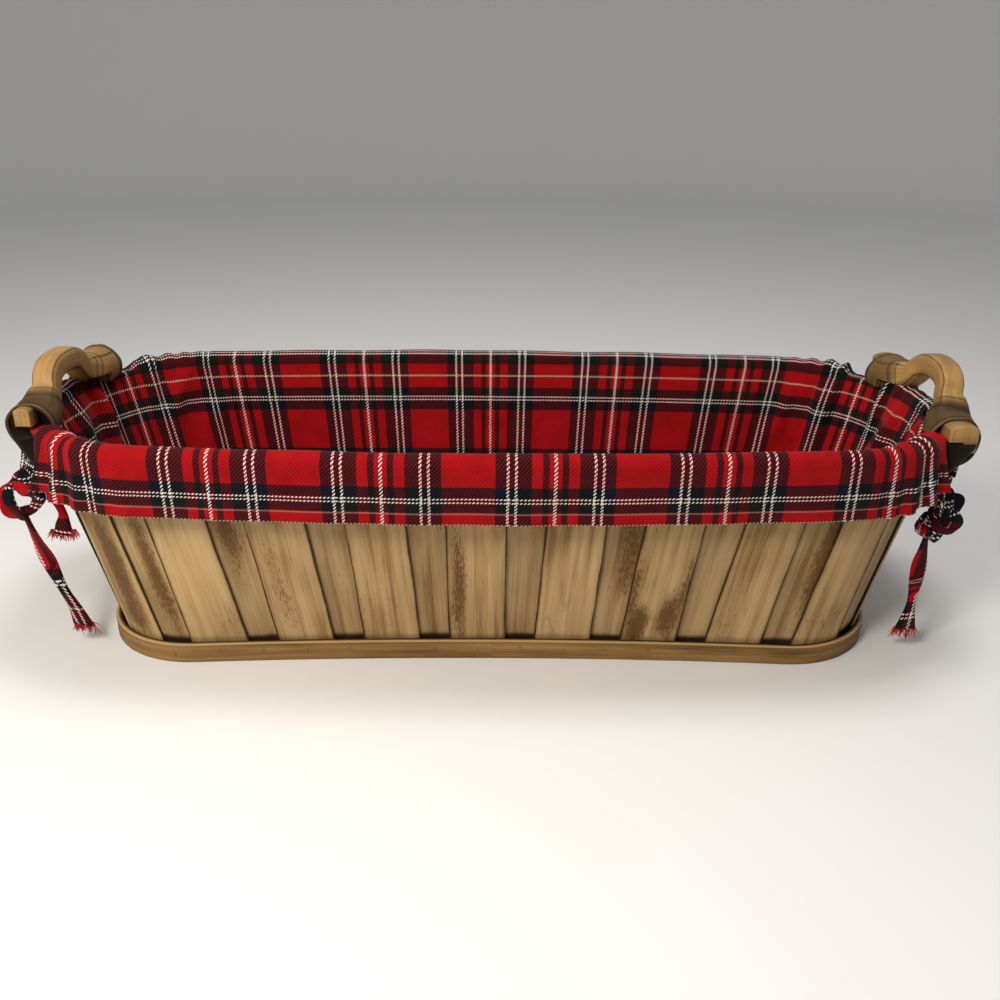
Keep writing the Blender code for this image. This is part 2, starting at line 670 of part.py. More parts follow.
def lump_mesh(name, centre, axes, sizes):
    """A rounded lump: a ball stretched to three half sizes along three axes."""
    work = bmesh.new()
    bmesh.ops.create_uvsphere(work, u_segments=KNOT_SIDES, v_segments=KNOT_RINGS, radius=1.0)
    for corner in work.verts:
        place = Vector(centre)
        for axis, size, amount in zip(axes, sizes, corner.co):
            place += axis * size * amount
        corner.co = place
    bmesh.ops.recalc_face_normals(work, faces=work.faces)
    mesh = bpy.data.meshes.new(name)
    work.to_mesh(mesh)
    work.free()
    return mesh


def strap_stations(end, way, height):
    """The strap across one slit: on the cloth at both its edges, and over the handle's tongue between."""
    total = perimeter(RIM_HEIGHT)
    half = STRAP_THICKNESS / 2
    upper, lower = height + STRAP_WIDTH / 2, height - STRAP_WIDTH / 2
    tongue_reaches = (LEG_REACH - TONGUE_WIDTH / 2, LEG_REACH, LEG_REACH + TONGUE_WIDTH / 2)
    cloth_reaches = (SLIT_START - STRAP_LAP, SLIT_START, SLIT_END, SLIT_END + STRAP_LAP)
    stations = []
    for reach in sorted(tongue_reaches + cloth_reaches):
        along = end + way * reach / total
        if reach in tongue_reaches:
            outset = RIM_OUTER_FACE + 2 * GAP + tongue_thickness(end, upper) + half
            place = wall_points(along, upper, outset)[0]
        else:
            place = skirt_points(along, reach, lower, CLOTH_THICKNESS / 2 + GAP + half)[0]
        middle = Vector((place[0], place[1], height))
        stations.append((middle, Vector((0, 0, STRAP_WIDTH / 2)), wall_normal(along, RIM_HEIGHT) * half))
    return stations


def tie_axes(end, way, height):
    """Where a tie's knot sits on its strap, and its three directions: along the strap away from the
    end of the basket, outwards, and up."""
    stations = strap_stations(end, way, height)
    middle = len(stations) // 2
    upwards = Vector((0, 0, 1))
    along = (stations[middle + 1][0] - stations[middle - 1][0]).normalized()
    outwards = along.cross(upwards) * way
    return stations[middle][0], (along, outwards, upwards)


def placed(origin, axes, shares):
    """A point from the knot's place by shares of the knot's radius along the three axes."""
    return origin + sum((axis * share * KNOT_RADIUS for axis, share in zip(axes, shares)), Vector())


def hanging_strip(name, origin, axes, table, lean=1):
    """A strip through the points of a table of shares, its flat side outwards."""
    along, outwards, _ = axes
    stations = []
    for along_share, out_share, up_share, wide_share, thick_share in table:
        middle = placed(origin, axes, (lean * along_share, out_share, up_share))
        wide = along * wide_share * KNOT_RADIUS
        stations.append((middle, wide, outwards * thick_share * KNOT_RADIUS))
    return strip_mesh(name, stations)


def make_tie(name, end, way, height, lump_shares, extra_parts):
    """A tie's strap and knot as one piece of cloth, with whatever else is tied into it."""
    origin, axes = tie_axes(end, way, height)
    made = finish(name, strip_mesh(name, strap_stations(end, way, height)), RED_CLOTH, CLOTH_ROUGHNESS)
    parts = []
    for index, shares in enumerate(lump_shares):
        centre = placed(origin, axes, shares[:3])
        sizes = [share * KNOT_RADIUS for share in shares[3:]]
        parts.append(lump_mesh(f"{name}_lump_{index + 1}", centre, axes, sizes))
    parts.extend(extra_parts(origin, axes))
    join_with(made, [guide(part.name, part) for part in parts], "UNION")


def left_bow_parts(origin, axes):
    """The left tie's open loop, a closed strip round an ellipse, and its frayed tassel."""
    along, outwards, upwards = axes
    along_share, out_share, up_share, wide_share, tall_share, strip_share, thick_share = LOOP_SHARES
    centre = placed(origin, axes, (along_share, out_share, up_share))
    flat = Vector((math.copysign(1, along.x), 0, 0))
    stations = []
    for cell in range(LOOP_CELLS):
        turn = 2 * math.pi * cell / LOOP_CELLS
        ray = flat * wide_share * math.cos(turn) + upwards * tall_share * math.sin(turn)
        wide = ray.normalized() * strip_share * KNOT_RADIUS
        thick = Vector((0, thick_share * KNOT_RADIUS, 0))
        stations.append((centre + ray * KNOT_RADIUS, wide, thick))
    loop = strip_mesh("tie_bow_left_loop", stations, closed=True)
    tassel = hanging_strip("tie_bow_left_tassel", origin, axes, LEFT_TASSEL_SHARES)
    return [loop, tassel]


def no_parts(origin, axes):
    """Nothing more than the strap and the knot."""
    return []


def back_tail_parts(origin, axes):
    """The two short ends of a back tie."""
    tails = []
    for side, lean in (("near", 1), ("far", -1)):
        tails.append(hanging_strip(f"tie_back_tail_{side}", origin, axes, BACK_TAIL_SHARES, lean))
    return tails


def make_tail(name, end, way, height, table):
    """A long loose end as a piece of its own, from just under its knot."""
    origin, axes = tie_axes(end, way, height)
    finish(name, hanging_strip(name, origin, axes, table), RED_CLOTH, CLOTH_ROUGHNESS)


def make_ties():
    """The four ties: a bow at the front left, a tight knot at the front right, and two behind."""
    make_tie("tie_bow_left", 0.75, 1, LEFT_STRAP_HEIGHT, PLAIN_KNOT_SHARES, left_bow_parts)
    make_tail("tie_tail_left", 0.75, 1, LEFT_STRAP_HEIGHT, LEFT_TAIL_SHARES)
    make_tie("tie_knot_right", 0.25, -1, RIGHT_STRAP_HEIGHT, RIGHT_KNOT_SHARES, no_parts)
    make_tail("tie_tail_right", 0.25, -1, RIGHT_STRAP_HEIGHT, RIGHT_TAIL_SHARES)
    make_tie("tie_back_left", 0.75, -1, BACK_STRAP_HEIGHT, PLAIN_KNOT_SHARES, back_tail_parts)
    make_tie("tie_back_right", 0.25, 1, BACK_STRAP_HEIGHT, PLAIN_KNOT_SHARES, back_tail_parts)


def main():
    for old in list(bpy.data.objects):
        bpy.data.objects.remove(old, do_unlink=True)
    make_floor_panel()
    make_hoops()
    make_slats()
    make_handle("handle_left", -1, LEFT_KNEE_OUT, LEFT_KNEE_HEIGHT, LEFT_ARCH_LEAN)
    make_handle("handle_right", 1, RIGHT_KNEE_OUT, RIGHT_KNEE_HEIGHT, RIGHT_ARCH_LEAN)
    make_liner()
    make_ties()


main()
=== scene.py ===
"""The looks of the lined gift basket: tartan cloth, blond slats with torched edges, bent bamboo and ties.

Metres, +Z up, the long way along X. Every surface is a function of two parameters on a grid, worked out
as whole arrays. The wall, the hoops and the cloth follow one outline, a rounded rectangle that grows with
height: a place on it is a share of the way round from the middle of the front towards +X, and an outset
is how far outside the face of the outer slats a point lies.
"""

import math
from types import SimpleNamespace

import bpy
import numpy as np
from mathutils import Matrix, Vector


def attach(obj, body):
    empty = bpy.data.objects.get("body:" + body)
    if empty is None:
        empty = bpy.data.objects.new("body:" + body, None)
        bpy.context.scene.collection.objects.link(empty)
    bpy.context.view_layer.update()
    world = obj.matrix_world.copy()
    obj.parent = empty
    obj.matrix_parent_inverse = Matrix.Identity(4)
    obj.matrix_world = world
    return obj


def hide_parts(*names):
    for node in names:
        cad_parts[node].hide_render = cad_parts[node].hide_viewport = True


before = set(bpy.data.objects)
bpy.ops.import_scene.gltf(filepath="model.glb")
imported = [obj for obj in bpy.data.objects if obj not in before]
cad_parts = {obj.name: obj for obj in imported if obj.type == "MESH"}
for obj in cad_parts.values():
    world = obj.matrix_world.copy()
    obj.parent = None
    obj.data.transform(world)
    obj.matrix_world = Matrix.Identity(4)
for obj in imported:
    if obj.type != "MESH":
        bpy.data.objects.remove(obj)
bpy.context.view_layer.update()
FULL_TURN = 2 * math.pi
UP = np.array([0.0, 0.0, 1.0])
RIGHT = np.array([1.0, 0.0, 0.0])

# Outline of the outer slats' outer face, at the foot and at the rim: half length, half width, radius, bow
FOOT = (0.2123, 0.0757, 0.0531, -0.0090)
RIM = (0.2454, 0.0802, 0.0732, 0.0150)
RIM_HEIGHT = 0.1218
GAP = 0.0003

# Hoops and their nails
HOOP_HEIGHT = 0.0109
HOOP_THICKNESS = 0.0030
HOOP_ROUNDING = 0.0007
HOOP_COLUMNS = 360
RIM_HOOP_THICKNESS = 0.0025
BRAD_RADIUS = 0.0008
BRAD_SCATTER = 0.0009
BRAD_SHARES = (1.0, 1.0, 0.8, 0.35)
BRAD_RISES = (-0.0004, 0.0001, 0.0004, 0.0005)

# Slats
SLAT_COUNT = 23
SLAT_WIDTH = 0.0315
SLAT_THICKNESS = 0.0012
SLAT_RISE = 0.0008
SLAT_TOP = RIM_HEIGHT + SLAT_RISE
SLAT_SHIFT = -0.0075
SLAT_ROWS = 26
SLAT_COLUMNS = 13
SLAT_SIDE_GAP = 0.0004
SLAT_EDGE_WANDER = 0.0005
SLAT_EDGE_EASE = 0.00025
LAYER_GAP = 0.0004
INNER_SEED = 40
GRAIN_STEPS = (0.61, 0.37)

# Burns by slat: across from -1 to 1 and height, their half sizes, and how strong they are
BURNS = {
    "outer_slat_20": [(0.25, 0.052, 0.45, 0.036, 1.15), (0.0, 0.022, 0.6, 0.010, 0.6)],
    "inner_slat_20": [(0.15, 0.055, 0.30, 0.040, 1.2)],
    "outer_slat_21": [(0.0, 0.078, 0.30, 0.018, 0.25), (0.7, 0.024, 0.35, 0.014, 0.35)],
    "inner_slat_21": [(-0.05, 0.080, 0.30, 0.022, 0.75)],
    "outer_slat_22": [(0.1, 0.095, 0.4, 0.009, 0.7), (-0.35, 0.042, 0.35, 0.030, 0.5)],
    "inner_slat_22": [(0.2, 0.060, 0.4, 0.020, 0.4)],
    "outer_slat_01": [(-0.60, 0.050, 0.26, 0.040, 1.0)],
    "inner_slat_02": [(0.35, 0.062, 0.30, 0.030, 0.7)],
    "outer_slat_03": [
        (-0.45, 0.024, 0.30, 0.0125, 1.1),
        (0.40, 0.027, 0.34, 0.0150, 1.2),
        (0.88, 0.056, 0.18, 0.026, 0.9),
        (-0.85, 0.048, 0.18, 0.020, 0.7),
    ],
    "inner_slat_04": [(0.55, 0.072, 0.35, 0.040, 1.1)],
    "outer_slat_05": [(0.3, 0.030, 0.6, 0.016, 0.7)],
    "outer_slat_19": [(0.4, 0.050, 0.5, 0.030, 0.7)],
    "outer_slat_18": [(0.2, 0.060, 0.5, 0.030, 0.4)],
    "outer_slat_12": [(0.2, 0.050, 0.5, 0.022, 0.8)],
    "outer_slat_09": [(-0.4, 0.070, 0.4, 0.022, 0.8)],
}

# The bag of cloth: its wall inside, its fold over the rim and its skirt
CLOTH_THICKNESS = 0.0010
FLOOR_LEVEL = 0.0069
WALL_FOOT_RISE = 0.0030
WALL_FOOT = FLOOR_LEVEL + WALL_FOOT_RISE
FOLD_DROP = 0.0190
FOLD_START = RIM_HEIGHT - FOLD_DROP
SKIRT_DEPTH = 0.0275
FOOT_OUTSET = -0.0049
INSIDE_OUTSET = -0.0068
SKIRT_OUTSET = 0.0040
STATION_PITCH = 0.0024
CLIMB_ROWS, STRAIGHT_ROWS, FOLD_ROWS, SKIRT_ROWS = 30, 7, 15, 15

# The slits for the legs of the handles, as distances from the middle of an end
SLIT_START = 0.0330
SLIT_END = 0.0680
SLIT_ROWS_PAST_CREST = 5
SLIT_FLARE = 0.0045
SLIT_FLARE_REACH = 0.0350
SLIT_LIFT = 0.0068
SLIT_LIFT_REACH = 0.0170
PRESS_REACH = 0.0050
PRESS_SHARE = 0.86
PRESS_LIFT = 0.0011

# Folds of the cloth: pleats beside the slits, slow waves, and deeper folds inside the ends
PLEAT_HEIGHT = 0.0027
PLEAT_GROWTH = 0.0034
PLEAT_PERIOD = 0.0112
PLEAT_WANDER = 0.0040
PLEAT_REACH_PAST = 0.0300
PLEAT_REACH_BETWEEN = 0.0180
PLEAT_DEPTH = 0.0120
PLEAT_FADE = 0.0500
WAVE_HEIGHT = 0.0012
WAVE_FADE = 0.0500
SKIRT_WAVE_HEIGHT = 0.0008
SKIRT_WAVE_PERIOD = 0.0470
FOLD_HEIGHT = 0.0054
FOLD_PERIOD = 0.0270
FOLD_SLANT = 0.1100
FOLD_TOP = 0.0060
FOLD_FADE = 0.0200
FOLD_END_REACH = 0.1300
FOLD_END_FADE = 0.0500
FOLD_FOOT = 0.0040
FOLD_FOOT_FADE = 0.0300

# The bag's floor
FLOOR_COLUMNS, FLOOR_ROWS = 240, 34
FLOOR_SPINE = 0.150
FLOOR_LIFT = 0.0006
FLOOR_WRINKLE = 0.0009
FLOOR_EDGE_RISE = 0.0030
FLOOR_PATTERN_SHIFT = 0.0021

# The tartan: half repeats across and down, the twill, and where the pattern lies on the bag
WARP_HALF = 0.0409
WEFT_HALF = 0.0337
TWILL_PITCH = 0.00190
TWILL_WANDER = 0.0003
WARP_START = 0.0524
EVEN_HALF = 0.170
BACK_HALVES = 16
ROUND_HALVES = 30
BACK_SHIFT = 0.001
THREAD_PLACES = [-0.2, 0.0, 0.0162, 0.0235, 0.0358]
THREAD_ROWS = [0.2373, 0.0373, 0.0215, 0.0141, 0.0]
BACK_THREAD_SHIFT = 0.0136
RED = (0.34, 0.003, 0.005)
NAVY = (0.004, 0.0045, 0.013)
GREEN = (0.005, 0.008, 0.005)
WHITE = (0.74, 0.67, 0.63)
CREAM = (0.66, 0.49, 0.34)
WARP_SHARES = [
    (0.0, WHITE),
    (0.019, RED),
    (0.072, GREEN),
    (0.147, RED),
    (0.27, GREEN),
    (0.436, WHITE),
    (0.466, GREEN),
    (0.531, WHITE),
    (0.561, NAVY),
    (0.69, RED),
]
WEFT_SHARES = [
    (0.0, CREAM),
    (0.014, RED),
    (0.217, GREEN),
    (0.378, WHITE),
    (0.402, GREEN),
    (0.435, WHITE),
    (0.459, NAVY),
    (0.630, RED),
]

# Handles: the arch, the knees with their rings and cut blocks, and the tongues
LEG_REACH = 0.0513
BAR_HALF = 0.00625
BAR_COLUMNS = 48
BAR_ROUND = 0.045
BAR_GRAIN_STEP = 0.3
BAR_WOBBLE = 0.0005
BAR_SQUARENESS = 4.5
ROUND_SQUARENESS = 2.0
ARCH_HALF_WIDTH = 0.0220
ARCH_TOP = 0.1515
NECK_REACH = 0.0233
NECK_HEIGHT = 0.1345
KNEE_REACH = 0.0485
KNEE_RADIUS = 0.0143
KNEE_INSET = 0.0016
KNEE_UNDERCUT = 0.0008
END_SHRINK = (0.80, 0.76, 0.40)
END_INWARD = (0.0, 0.0022, 0.0024)
FOLD_CLEAR_HEIGHT = 0.1288
FOLD_CLEAR_HALF = 0.0363
WALL_CLEARANCE = 0.0004
RING_ROWS, RING_COLUMNS = 28, 72
RING_BEAD = 0.0009
RING_SINK = 0.0012
RING_HALF_WIDTH = 0.0019
RING_GIRTH = 0.010
RING_ROUND = 0.090
BLOCK_POINTS = 15
BLOCK_BACK = 0.0020
BLOCK_EASE = 0.0008
BLOCK_TIP = 0.0003
TONGUE_WIDTH = 0.0150
TONGUE_FOOT = 0.0880
TONGUE_HEAD = 0.1220
TONGUE_ROWS, TONGUE_COLUMNS = 18, 11
ARCH_SHARES = [(0.0, 0.0), (0.42, 0.06), (0.75, 0.30), (0.95, 0.70)]
FLARE_SHARES = [(0.0, 0.0, 0.03, 0.0), (0.20, 0.24, 0.34, 0.45), (0.52, 0.74, 0.84, 0.85)]
TONGUE_SHARES = [(0.0, 0.22), (0.30, 0.30), (0.52, 0.53), (0.75, 0.80), (1.0, 1.0)]
LEFT_HANDLE = SimpleNamespace(
    name="handle_left",
    sign=-1,
    end=0.75,
    knee_out=0.0006,
    knee_height=0.1245,
    lean=0.0040,
    head=0.0095,
    round_share=0.90,
    far_rise=0.0050,
    # The far knee gets less dark skin, so it is paler: painted light where it is lit from above
    far_painted_light_skin=0.30,
    block=SimpleNamespace(out=0.0008, rise=0.0066, half_width=0.0040, half_height=0.0047, front=0.0555),
)
RIGHT_HANDLE = SimpleNamespace(
    name="handle_right",
    sign=1,
    end=0.25,
    knee_out=0.0047,
    knee_height=0.1195,
    lean=0.0120,
    head=0.0145,
    round_share=1.0,
    far_rise=0.0070,
    # The far knee gets less dark skin, so it is paler: painted light where it is lit from above
    far_painted_light_skin=0.70,
    block=SimpleNamespace(out=0.0003, rise=0.0048, half_width=0.0074, half_height=0.0074, front=0.0590),
)

# Ties. A table's rows are shares of the knot's radius: along, out, up, half width and half thickness
STRAP_WIDTH = 0.0070
STRAP_THICKNESS = 0.0016
STRAP_OVERLAP = 0.0040
STRAP_STANDOFF = 0.0016
TONGUE_STANDOFF = 0.0010
KNOT_RADIUS = 0.0070
KNOT_SHARES = (1.0, 0.9, 1.1)
KNOT_ROWS, KNOT_COLUMNS = 30, 44
STRIP_COLUMNS = 16
LOOP_POINTS = 56
LOOP_TWIST = 0.0012
LEFT_STRAP_HEIGHT = 0.0970
RIGHT_STRAP_HEIGHT = 0.0930
BACK_STRAP_HEIGHT = 0.0950
YARN_RADIUS = 0.00040
YARN_POINTS = 6
FRAY_BACKSET = 0.0020
TAIL_FRAY_LENGTH = 0.0080
TASSEL_BACKSET = 0.0030
TASSEL_FRAY = 0.0070
BACK_FRAY_WIDTH = 0.0033
BACK_FRAY_LENGTH = 0.0050
LEFT_BAND_SHARES = [
    (0.2, 1.7, 0.4, 0.40, 0.20),
    (0.9, 2.35, -0.1, 0.42, 0.20),
    (1.2, 2.35, -1.1, 0.44, 0.20),
    (1.25, 1.70, -2.3, 0.36, 0.22),
]
LEFT_TASSEL_SHARES = [
    (1.6, 0.25, 0.0, 0.33, 0.12),
    (1.6, -0.5, -1.2, 0.33, 0.18),
    (1.55, -0.85, -2.3, 0.30, 0.24),
    (1.46, -0.75, -3.2, 0.52, 0.28),
    (1.40, -0.68, -4.1, 0.72, 0.24),
]
LEFT_TAIL_SHARES = [
    (1.25, 1.60, -2.05, 0.34, 0.20),
    (1.25, 1.15, -4.2, 0.56, 0.16),
    (1.25, 0.7, -6.0, 0.62, 0.13),
    (1.25, 0.1, -8.5, 0.40, 0.16),
    (1.25, -0.5, -10.4, 0.55, 0.14),
    (1.25, -0.9, -12.1, 0.85, 0.11),
]
RIGHT_TAIL_SHARES = [
    (1.2, 0.05, -2.90, 0.42, 0.18),
    (1.2, 0.0, -5.0, 0.66, 0.14),
    (1.2, 0.0, -6.8, 0.56, 0.13),
    (1.2, 0.0, -9.0, 0.34, 0.18),
    (1.2, -0.1, -11.4, 0.88, 0.11),
]
BACK_TAIL_SHARES = [(0.0, 0.95, 0.0, 0.40, 0.13), (0.5, 0.6, -1.5, 0.45, 0.13), (0.8, 0.2, -3.8, 0.50, 0.11)]

# The left loop, and the right knot's folds and loops: middle and sizes as shares of the knot's radius
LEFT_LOOP = ((1.0, 1.65, -0.85), (1.22, 0.0, 0.0), (0.0, 0.0, 1.0))
LEFT_LOOP_HALF_SIZES = (0.0031, 0.0023)
RIGHT_FOLDS = [
    ((0.35, 0.7, -1.0), (1.25, 0.8, 1.75)),
    ((1.2, 0.05, -2.2), (0.85, 0.85, 1.05)),
    ((1.3, 0.6, -2.7), (0.4, 0.5, 0.8)),
    ((1.75, -0.25, -2.30), (0.80, 0.55, 0.50)),
]
RIGHT_LOOPS = [
    ((0.60, 1.00, -0.75), (0.85, 0.1, 0.2), (-0.2, 0.35, 0.75)),
    ((1.20, 1.00, -1.55), (0.80, -0.3, -0.2), (0.1, 0.5, 0.70)),
    ((0.35, 0.90, -1.85), (0.65, 0.3, 0.3), (-0.3, 0.2, 0.60)),
]
RIGHT_LOOP_HALF_SIZES = (0.0022, 0.0015)

# Where each piece of a tie lies on the tartan, across and down, and how far a twisted tail slides across
TIE_PATTERNS = {
    "tie_bow_left_strap": (0.0200, 0.0110),
    "tie_bow_left_knot": (0.0245, 0.0060),
    "tie_bow_left_loop": (0.0345, 0.0160),
    "tie_bow_left_band": (0.0150, 0.0100),
    "tie_bow_left_tassel": (0.0390, 0.0300),
    "tie_tail_left_cloth": (0.0028, 0.0200),
    "tie_knot_right_strap": (0.0170, 0.0140),
    "tie_knot_right_fold_1": (0.0225, 0.0040),
    "tie_knot_right_fold_2": (0.0195, 0.0065),
    "tie_knot_right_fold_3": (0.0240, 0.0075),
    "tie_knot_right_fold_4": (0.0012, 0.0225),
    "tie_knot_right_loop_1": (0.0255, 0.0160),
    "tie_knot_right_loop_2": (0.0140, 0.0090),
    "tie_knot_right_loop_3": (0.0195, 0.0120),
    "tie_tail_right_cloth": (0.0262, 0.0140),
    "tie_back_left_strap": (0.0262, 0.0165),
    "tie_back_left_knot": (0.0262, 0.0165),
    "tie_back_left_end_near": (0.0382, 0.0165),
    "tie_back_left_end_far": (0.0142, 0.0165),
    "tie_back_right_strap": (0.0310, 0.0090),
    "tie_back_right_knot": (0.0310, 0.0090),
    "tie_back_right_end_near": (0.0430, 0.0090),
    "tie_back_right_end_far": (0.0190, 0.0090),
}
LEFT_TAIL_DRIFT = 0.0185
RIGHT_TAIL_DRIFT = -0.0250

# Finishes: wood tones run from light to dark
OUTER_TONES = ((0.50, 0.335, 0.158), (0.385, 0.245, 0.104), (0.225, 0.125, 0.045))
INNER_TONES = ((0.42, 0.285, 0.135), (0.31, 0.195, 0.083), (0.17, 0.097, 0.036))
HOOP_TONES = ((0.35, 0.205, 0.074), (0.235, 0.128, 0.040), (0.10, 0.048, 0.014))
RIM_TONES = ((0.22, 0.14, 0.07), (0.12, 0.07, 0.032))
PANEL_TONES = ((0.50, 0.34, 0.18), (0.30, 0.19, 0.09))
BAMBOO_TONES = ((0.50, 0.300, 0.105), (0.29, 0.155, 0.047))
SKIN_TONES = ((0.120, 0.063, 0.020), (0.040, 0.020, 0.0065))
RING_BROWN = (0.22, 0.12, 0.045)
HAZE_BROWN = (0.22, 0.122, 0.042)
SCORCH = (0.105, 0.048, 0.013)
EDGE_BROWN = (0.15, 0.075, 0.024)
EDGE_CHAR = (0.030, 0.013, 0.005)
# Painted shade with some scorch, for the slats' foot just above the hoop
FOOT_SHADE_AND_CHAR = (0.016, 0.009, 0.005)
# Painted highlight for the hoop's top ledge, standing for light falling on it
LEDGE_HIGHLIGHT_TONE = (0.56, 0.36, 0.16)
# Darker brown for the hoop's foot and for a line under its ledge
HOOP_DARK_BROWN = (0.035, 0.016, 0.007)
TANNED_BAMBOO = (0.27, 0.145, 0.050)
BAMBOO_LINE = (0.07, 0.032, 0.013)
BAMBOO_FLECK = (0.11, 0.05, 0.02)
# Near black: char on scored lines and rings, and painted shade in the knees' hollow ends and on the tongues
BAMBOO_CHAR_AND_SHADE = (0.005, 0.003, 0.002)
HEM_THREAD = (0.45, 0.28, 0.24)
YARN_RED = (0.42, 0.014, 0.016)
NAIL_BROWN = (0.22, 0.17, 0.12)
TWILL_RELIEF = 0.00016
SLAT_RELIEF = 0.00022
WOOD_RELIEF = 0.00020
BAMBOO_RELIEF = 0.00025
TABLE_WHITE = (0.84, 0.835, 0.83, 1)
SURROUND = (0.80, 0.81, 0.82, 1)
SURROUND_STRENGTH = 0.36

# Camera, table and lights, each light with its place, size, power and colour
LENS = 33.86
SENSOR_WIDTH = 36
CAMERA_PLACE = (-0.00232, -0.5047, 0.2865)
CAMERA_PITCH = math.radians(23.83)
CAMERA_YAW = math.radians(0.81)
CAMERA_ROLL = math.radians(0.67)
TABLE_REACH = 2.2
TABLE_BEND = 0.6
TABLE_WALL_TOP = 1.4
LIGHT_AIM = (0, 0, 0.06)
LIGHTS = {
    "key": ((-0.30, -0.55, 0.62), 0.20, 4.3, (1.0, 0.95, 0.86)),
    "side": ((-1.00, -0.45, 0.45), 0.50, 2.8, (1.0, 0.93, 0.82)),
    "top": ((0.10, 0.05, 1.15), 0.35, 5.0, (1.0, 0.98, 0.95)),
}


def new_object(name, data):
    """An object in the scene."""
    made = bpy.data.objects.new(name, data)
    bpy.context.scene.collection.objects.link(made)
    return made


def make_camera():
    """The photograph's view: looking along +Y and down by the pitch, turned a little by yaw and roll."""
    data = bpy.data.cameras.new("view")
    data.lens = LENS
    data.sensor_width = SENSOR_WIDTH
    eye = new_object("view", data)
    turned = Matrix.Rotation(-CAMERA_YAW, 4, "Z") @ Matrix.Rotation(math.pi / 2 - CAMERA_PITCH, 4, "X")
    eye.matrix_world = Matrix.Translation(CAMERA_PLACE) @ turned @ Matrix.Rotation(CAMERA_ROLL, 4, "Z")
    bpy.context.scene.camera = eye


def outline_sizes(height):
    """Half length, half width, corner radius and bow: a straight line from foot to rim above the hoop."""
    share = np.maximum(0, (np.asarray(height, float) - HOOP_HEIGHT) / (RIM_HEIGHT - HOOP_HEIGHT))
    return [low + (high - low) * share for low, high in zip(FOOT, RIM)]


def perimeter(height):
    """Length of the rounded rectangle at a height."""
    half_length, half_width, radius, _ = outline_sizes(height)
    return 4 * (half_length + half_width - 2 * radius) + FULL_TURN * radius


FOOT_ROUND = float(perimeter(0))
RIM_ROUND = float(perimeter(RIM_HEIGHT))


def wall(along, height, outset):
    """Points at shares of the way round: the distance into a quarter runs along the side, then turns by
    distance over radius round the corner, then runs in along the end. Signs mirror the quarter."""
    along, height, outset = np.broadcast_arrays(np.asarray(along, float) % 1.0, height, outset)
    half_length, half_width, radius, bow = outline_sizes(height)
    side, end = half_length - radius, half_width - radius
    folded = along % 0.5
    into = np.minimum(folded, 0.5 - folded) * perimeter(height)
    turn = np.clip((into - side) / radius, 0, math.pi / 2)
    across = np.minimum(into, side) + (radius + outset) * np.sin(turn)
    past = np.maximum(0, into - side - math.pi / 2 * radius)
    depth = end + (radius + outset) * np.cos(turn) - past
    depth = depth + bow * (1 - np.clip(across / half_length, 0, 1) ** 2)
    sign_x = np.where(along < 0.5, 1.0, -1.0)
    sign_y = np.where((along < 0.25) | (along > 0.75), -1.0, 1.0)
    return np.stack([sign_x * across, sign_y * depth, height], axis=-1)


def unit(vectors):
    """Vectors scaled to length one."""
    return vectors / np.linalg.norm(vectors, axis=-1, keepdims=True)


def path_length(points):
    """How far along a path each of its points lies."""
    return np.concatenate([[0], np.cumsum(np.linalg.norm(np.diff(points, axis=0), axis=-1))])


def grow(value, start, span):
    """A straight step: 0 up to start, and 1 from a span later."""
    return np.clip((value - start) / span, 0, 1)


def ease(share):
    """A share between 0 and 1, eased at both ends: 3 s^2 - 2 s^3."""
    return share**2 * (3 - 2 * share)


def bell(distance, reach):
    """1 at no distance, falling as e to the minus square of distance over reach."""
    return np.exp(-((distance / reach) ** 2))


def wave(place):
    """A wave between 0 and 1 with one crest in each unit of place."""
    return 0.5 + 0.5 * np.sin(FULL_TURN * place)


def grids(*values):
    """Values spread to one shape and stacked as the last axis."""
    return np.stack(np.broadcast_arrays(*values), axis=-1)


def smooth_through(keys, per_span):
    """Catmull-Rom curve through rows of keys: each span is a cubic whose end slopes are half the step
    between the keys on either side."""
    keys = np.asarray(keys, float)
    padded = np.vstack([2 * keys[0] - keys[1], keys, 2 * keys[-1] - keys[-2]])
    share = np.linspace(0, 1, per_span, endpoint=False)[None, :, None]
    p0, p1, p2, p3 = (padded[i : i + len(keys) - 1][:, None] for i in range(4))
    curve = (
        2 * p1
        + (p2 - p0) * share
        + (2 * p0 - 5 * p1 + 4 * p2 - p3) * share**2
        + (3 * p1 - p0 - 3 * p2 + p3) * share**3
    ) / 2
    return np.vstack([curve.reshape(-1, keys.shape[1]), keys[-1]])


def bumps(first, second, seed):
    """Smooth unevenness between -1 and 1: the mean of five crossing sines with seeded slants."""
    random = np.random.default_rng(seed)
    total = 0
    for _ in range(5):
        slant = random.uniform(-1, 1, 2)
        total = total + np.sin(FULL_TURN * (first * slant[0] + second * slant[1]) + random.uniform(0, 6.3))
    return total / 5


def cell_corners(rows, columns):
    """Which row and which column each of the four corners of a grid's cells lies on."""
    row, column = np.meshgrid(np.arange(rows), np.arange(columns), indexing="ij")
    corner_rows = np.stack([row, row, row + 1, row + 1], axis=-1)
    corner_columns = np.stack([column, column + 1, column + 1, column], axis=-1)
    return corner_rows, corner_columns


def new_mesh(name, points, faces):
    """A mesh of points and faces."""
    mesh = bpy.data.meshes.new(name)
    mesh.from_pydata(points.reshape(-1, 3).tolist(), [], faces)
    return mesh


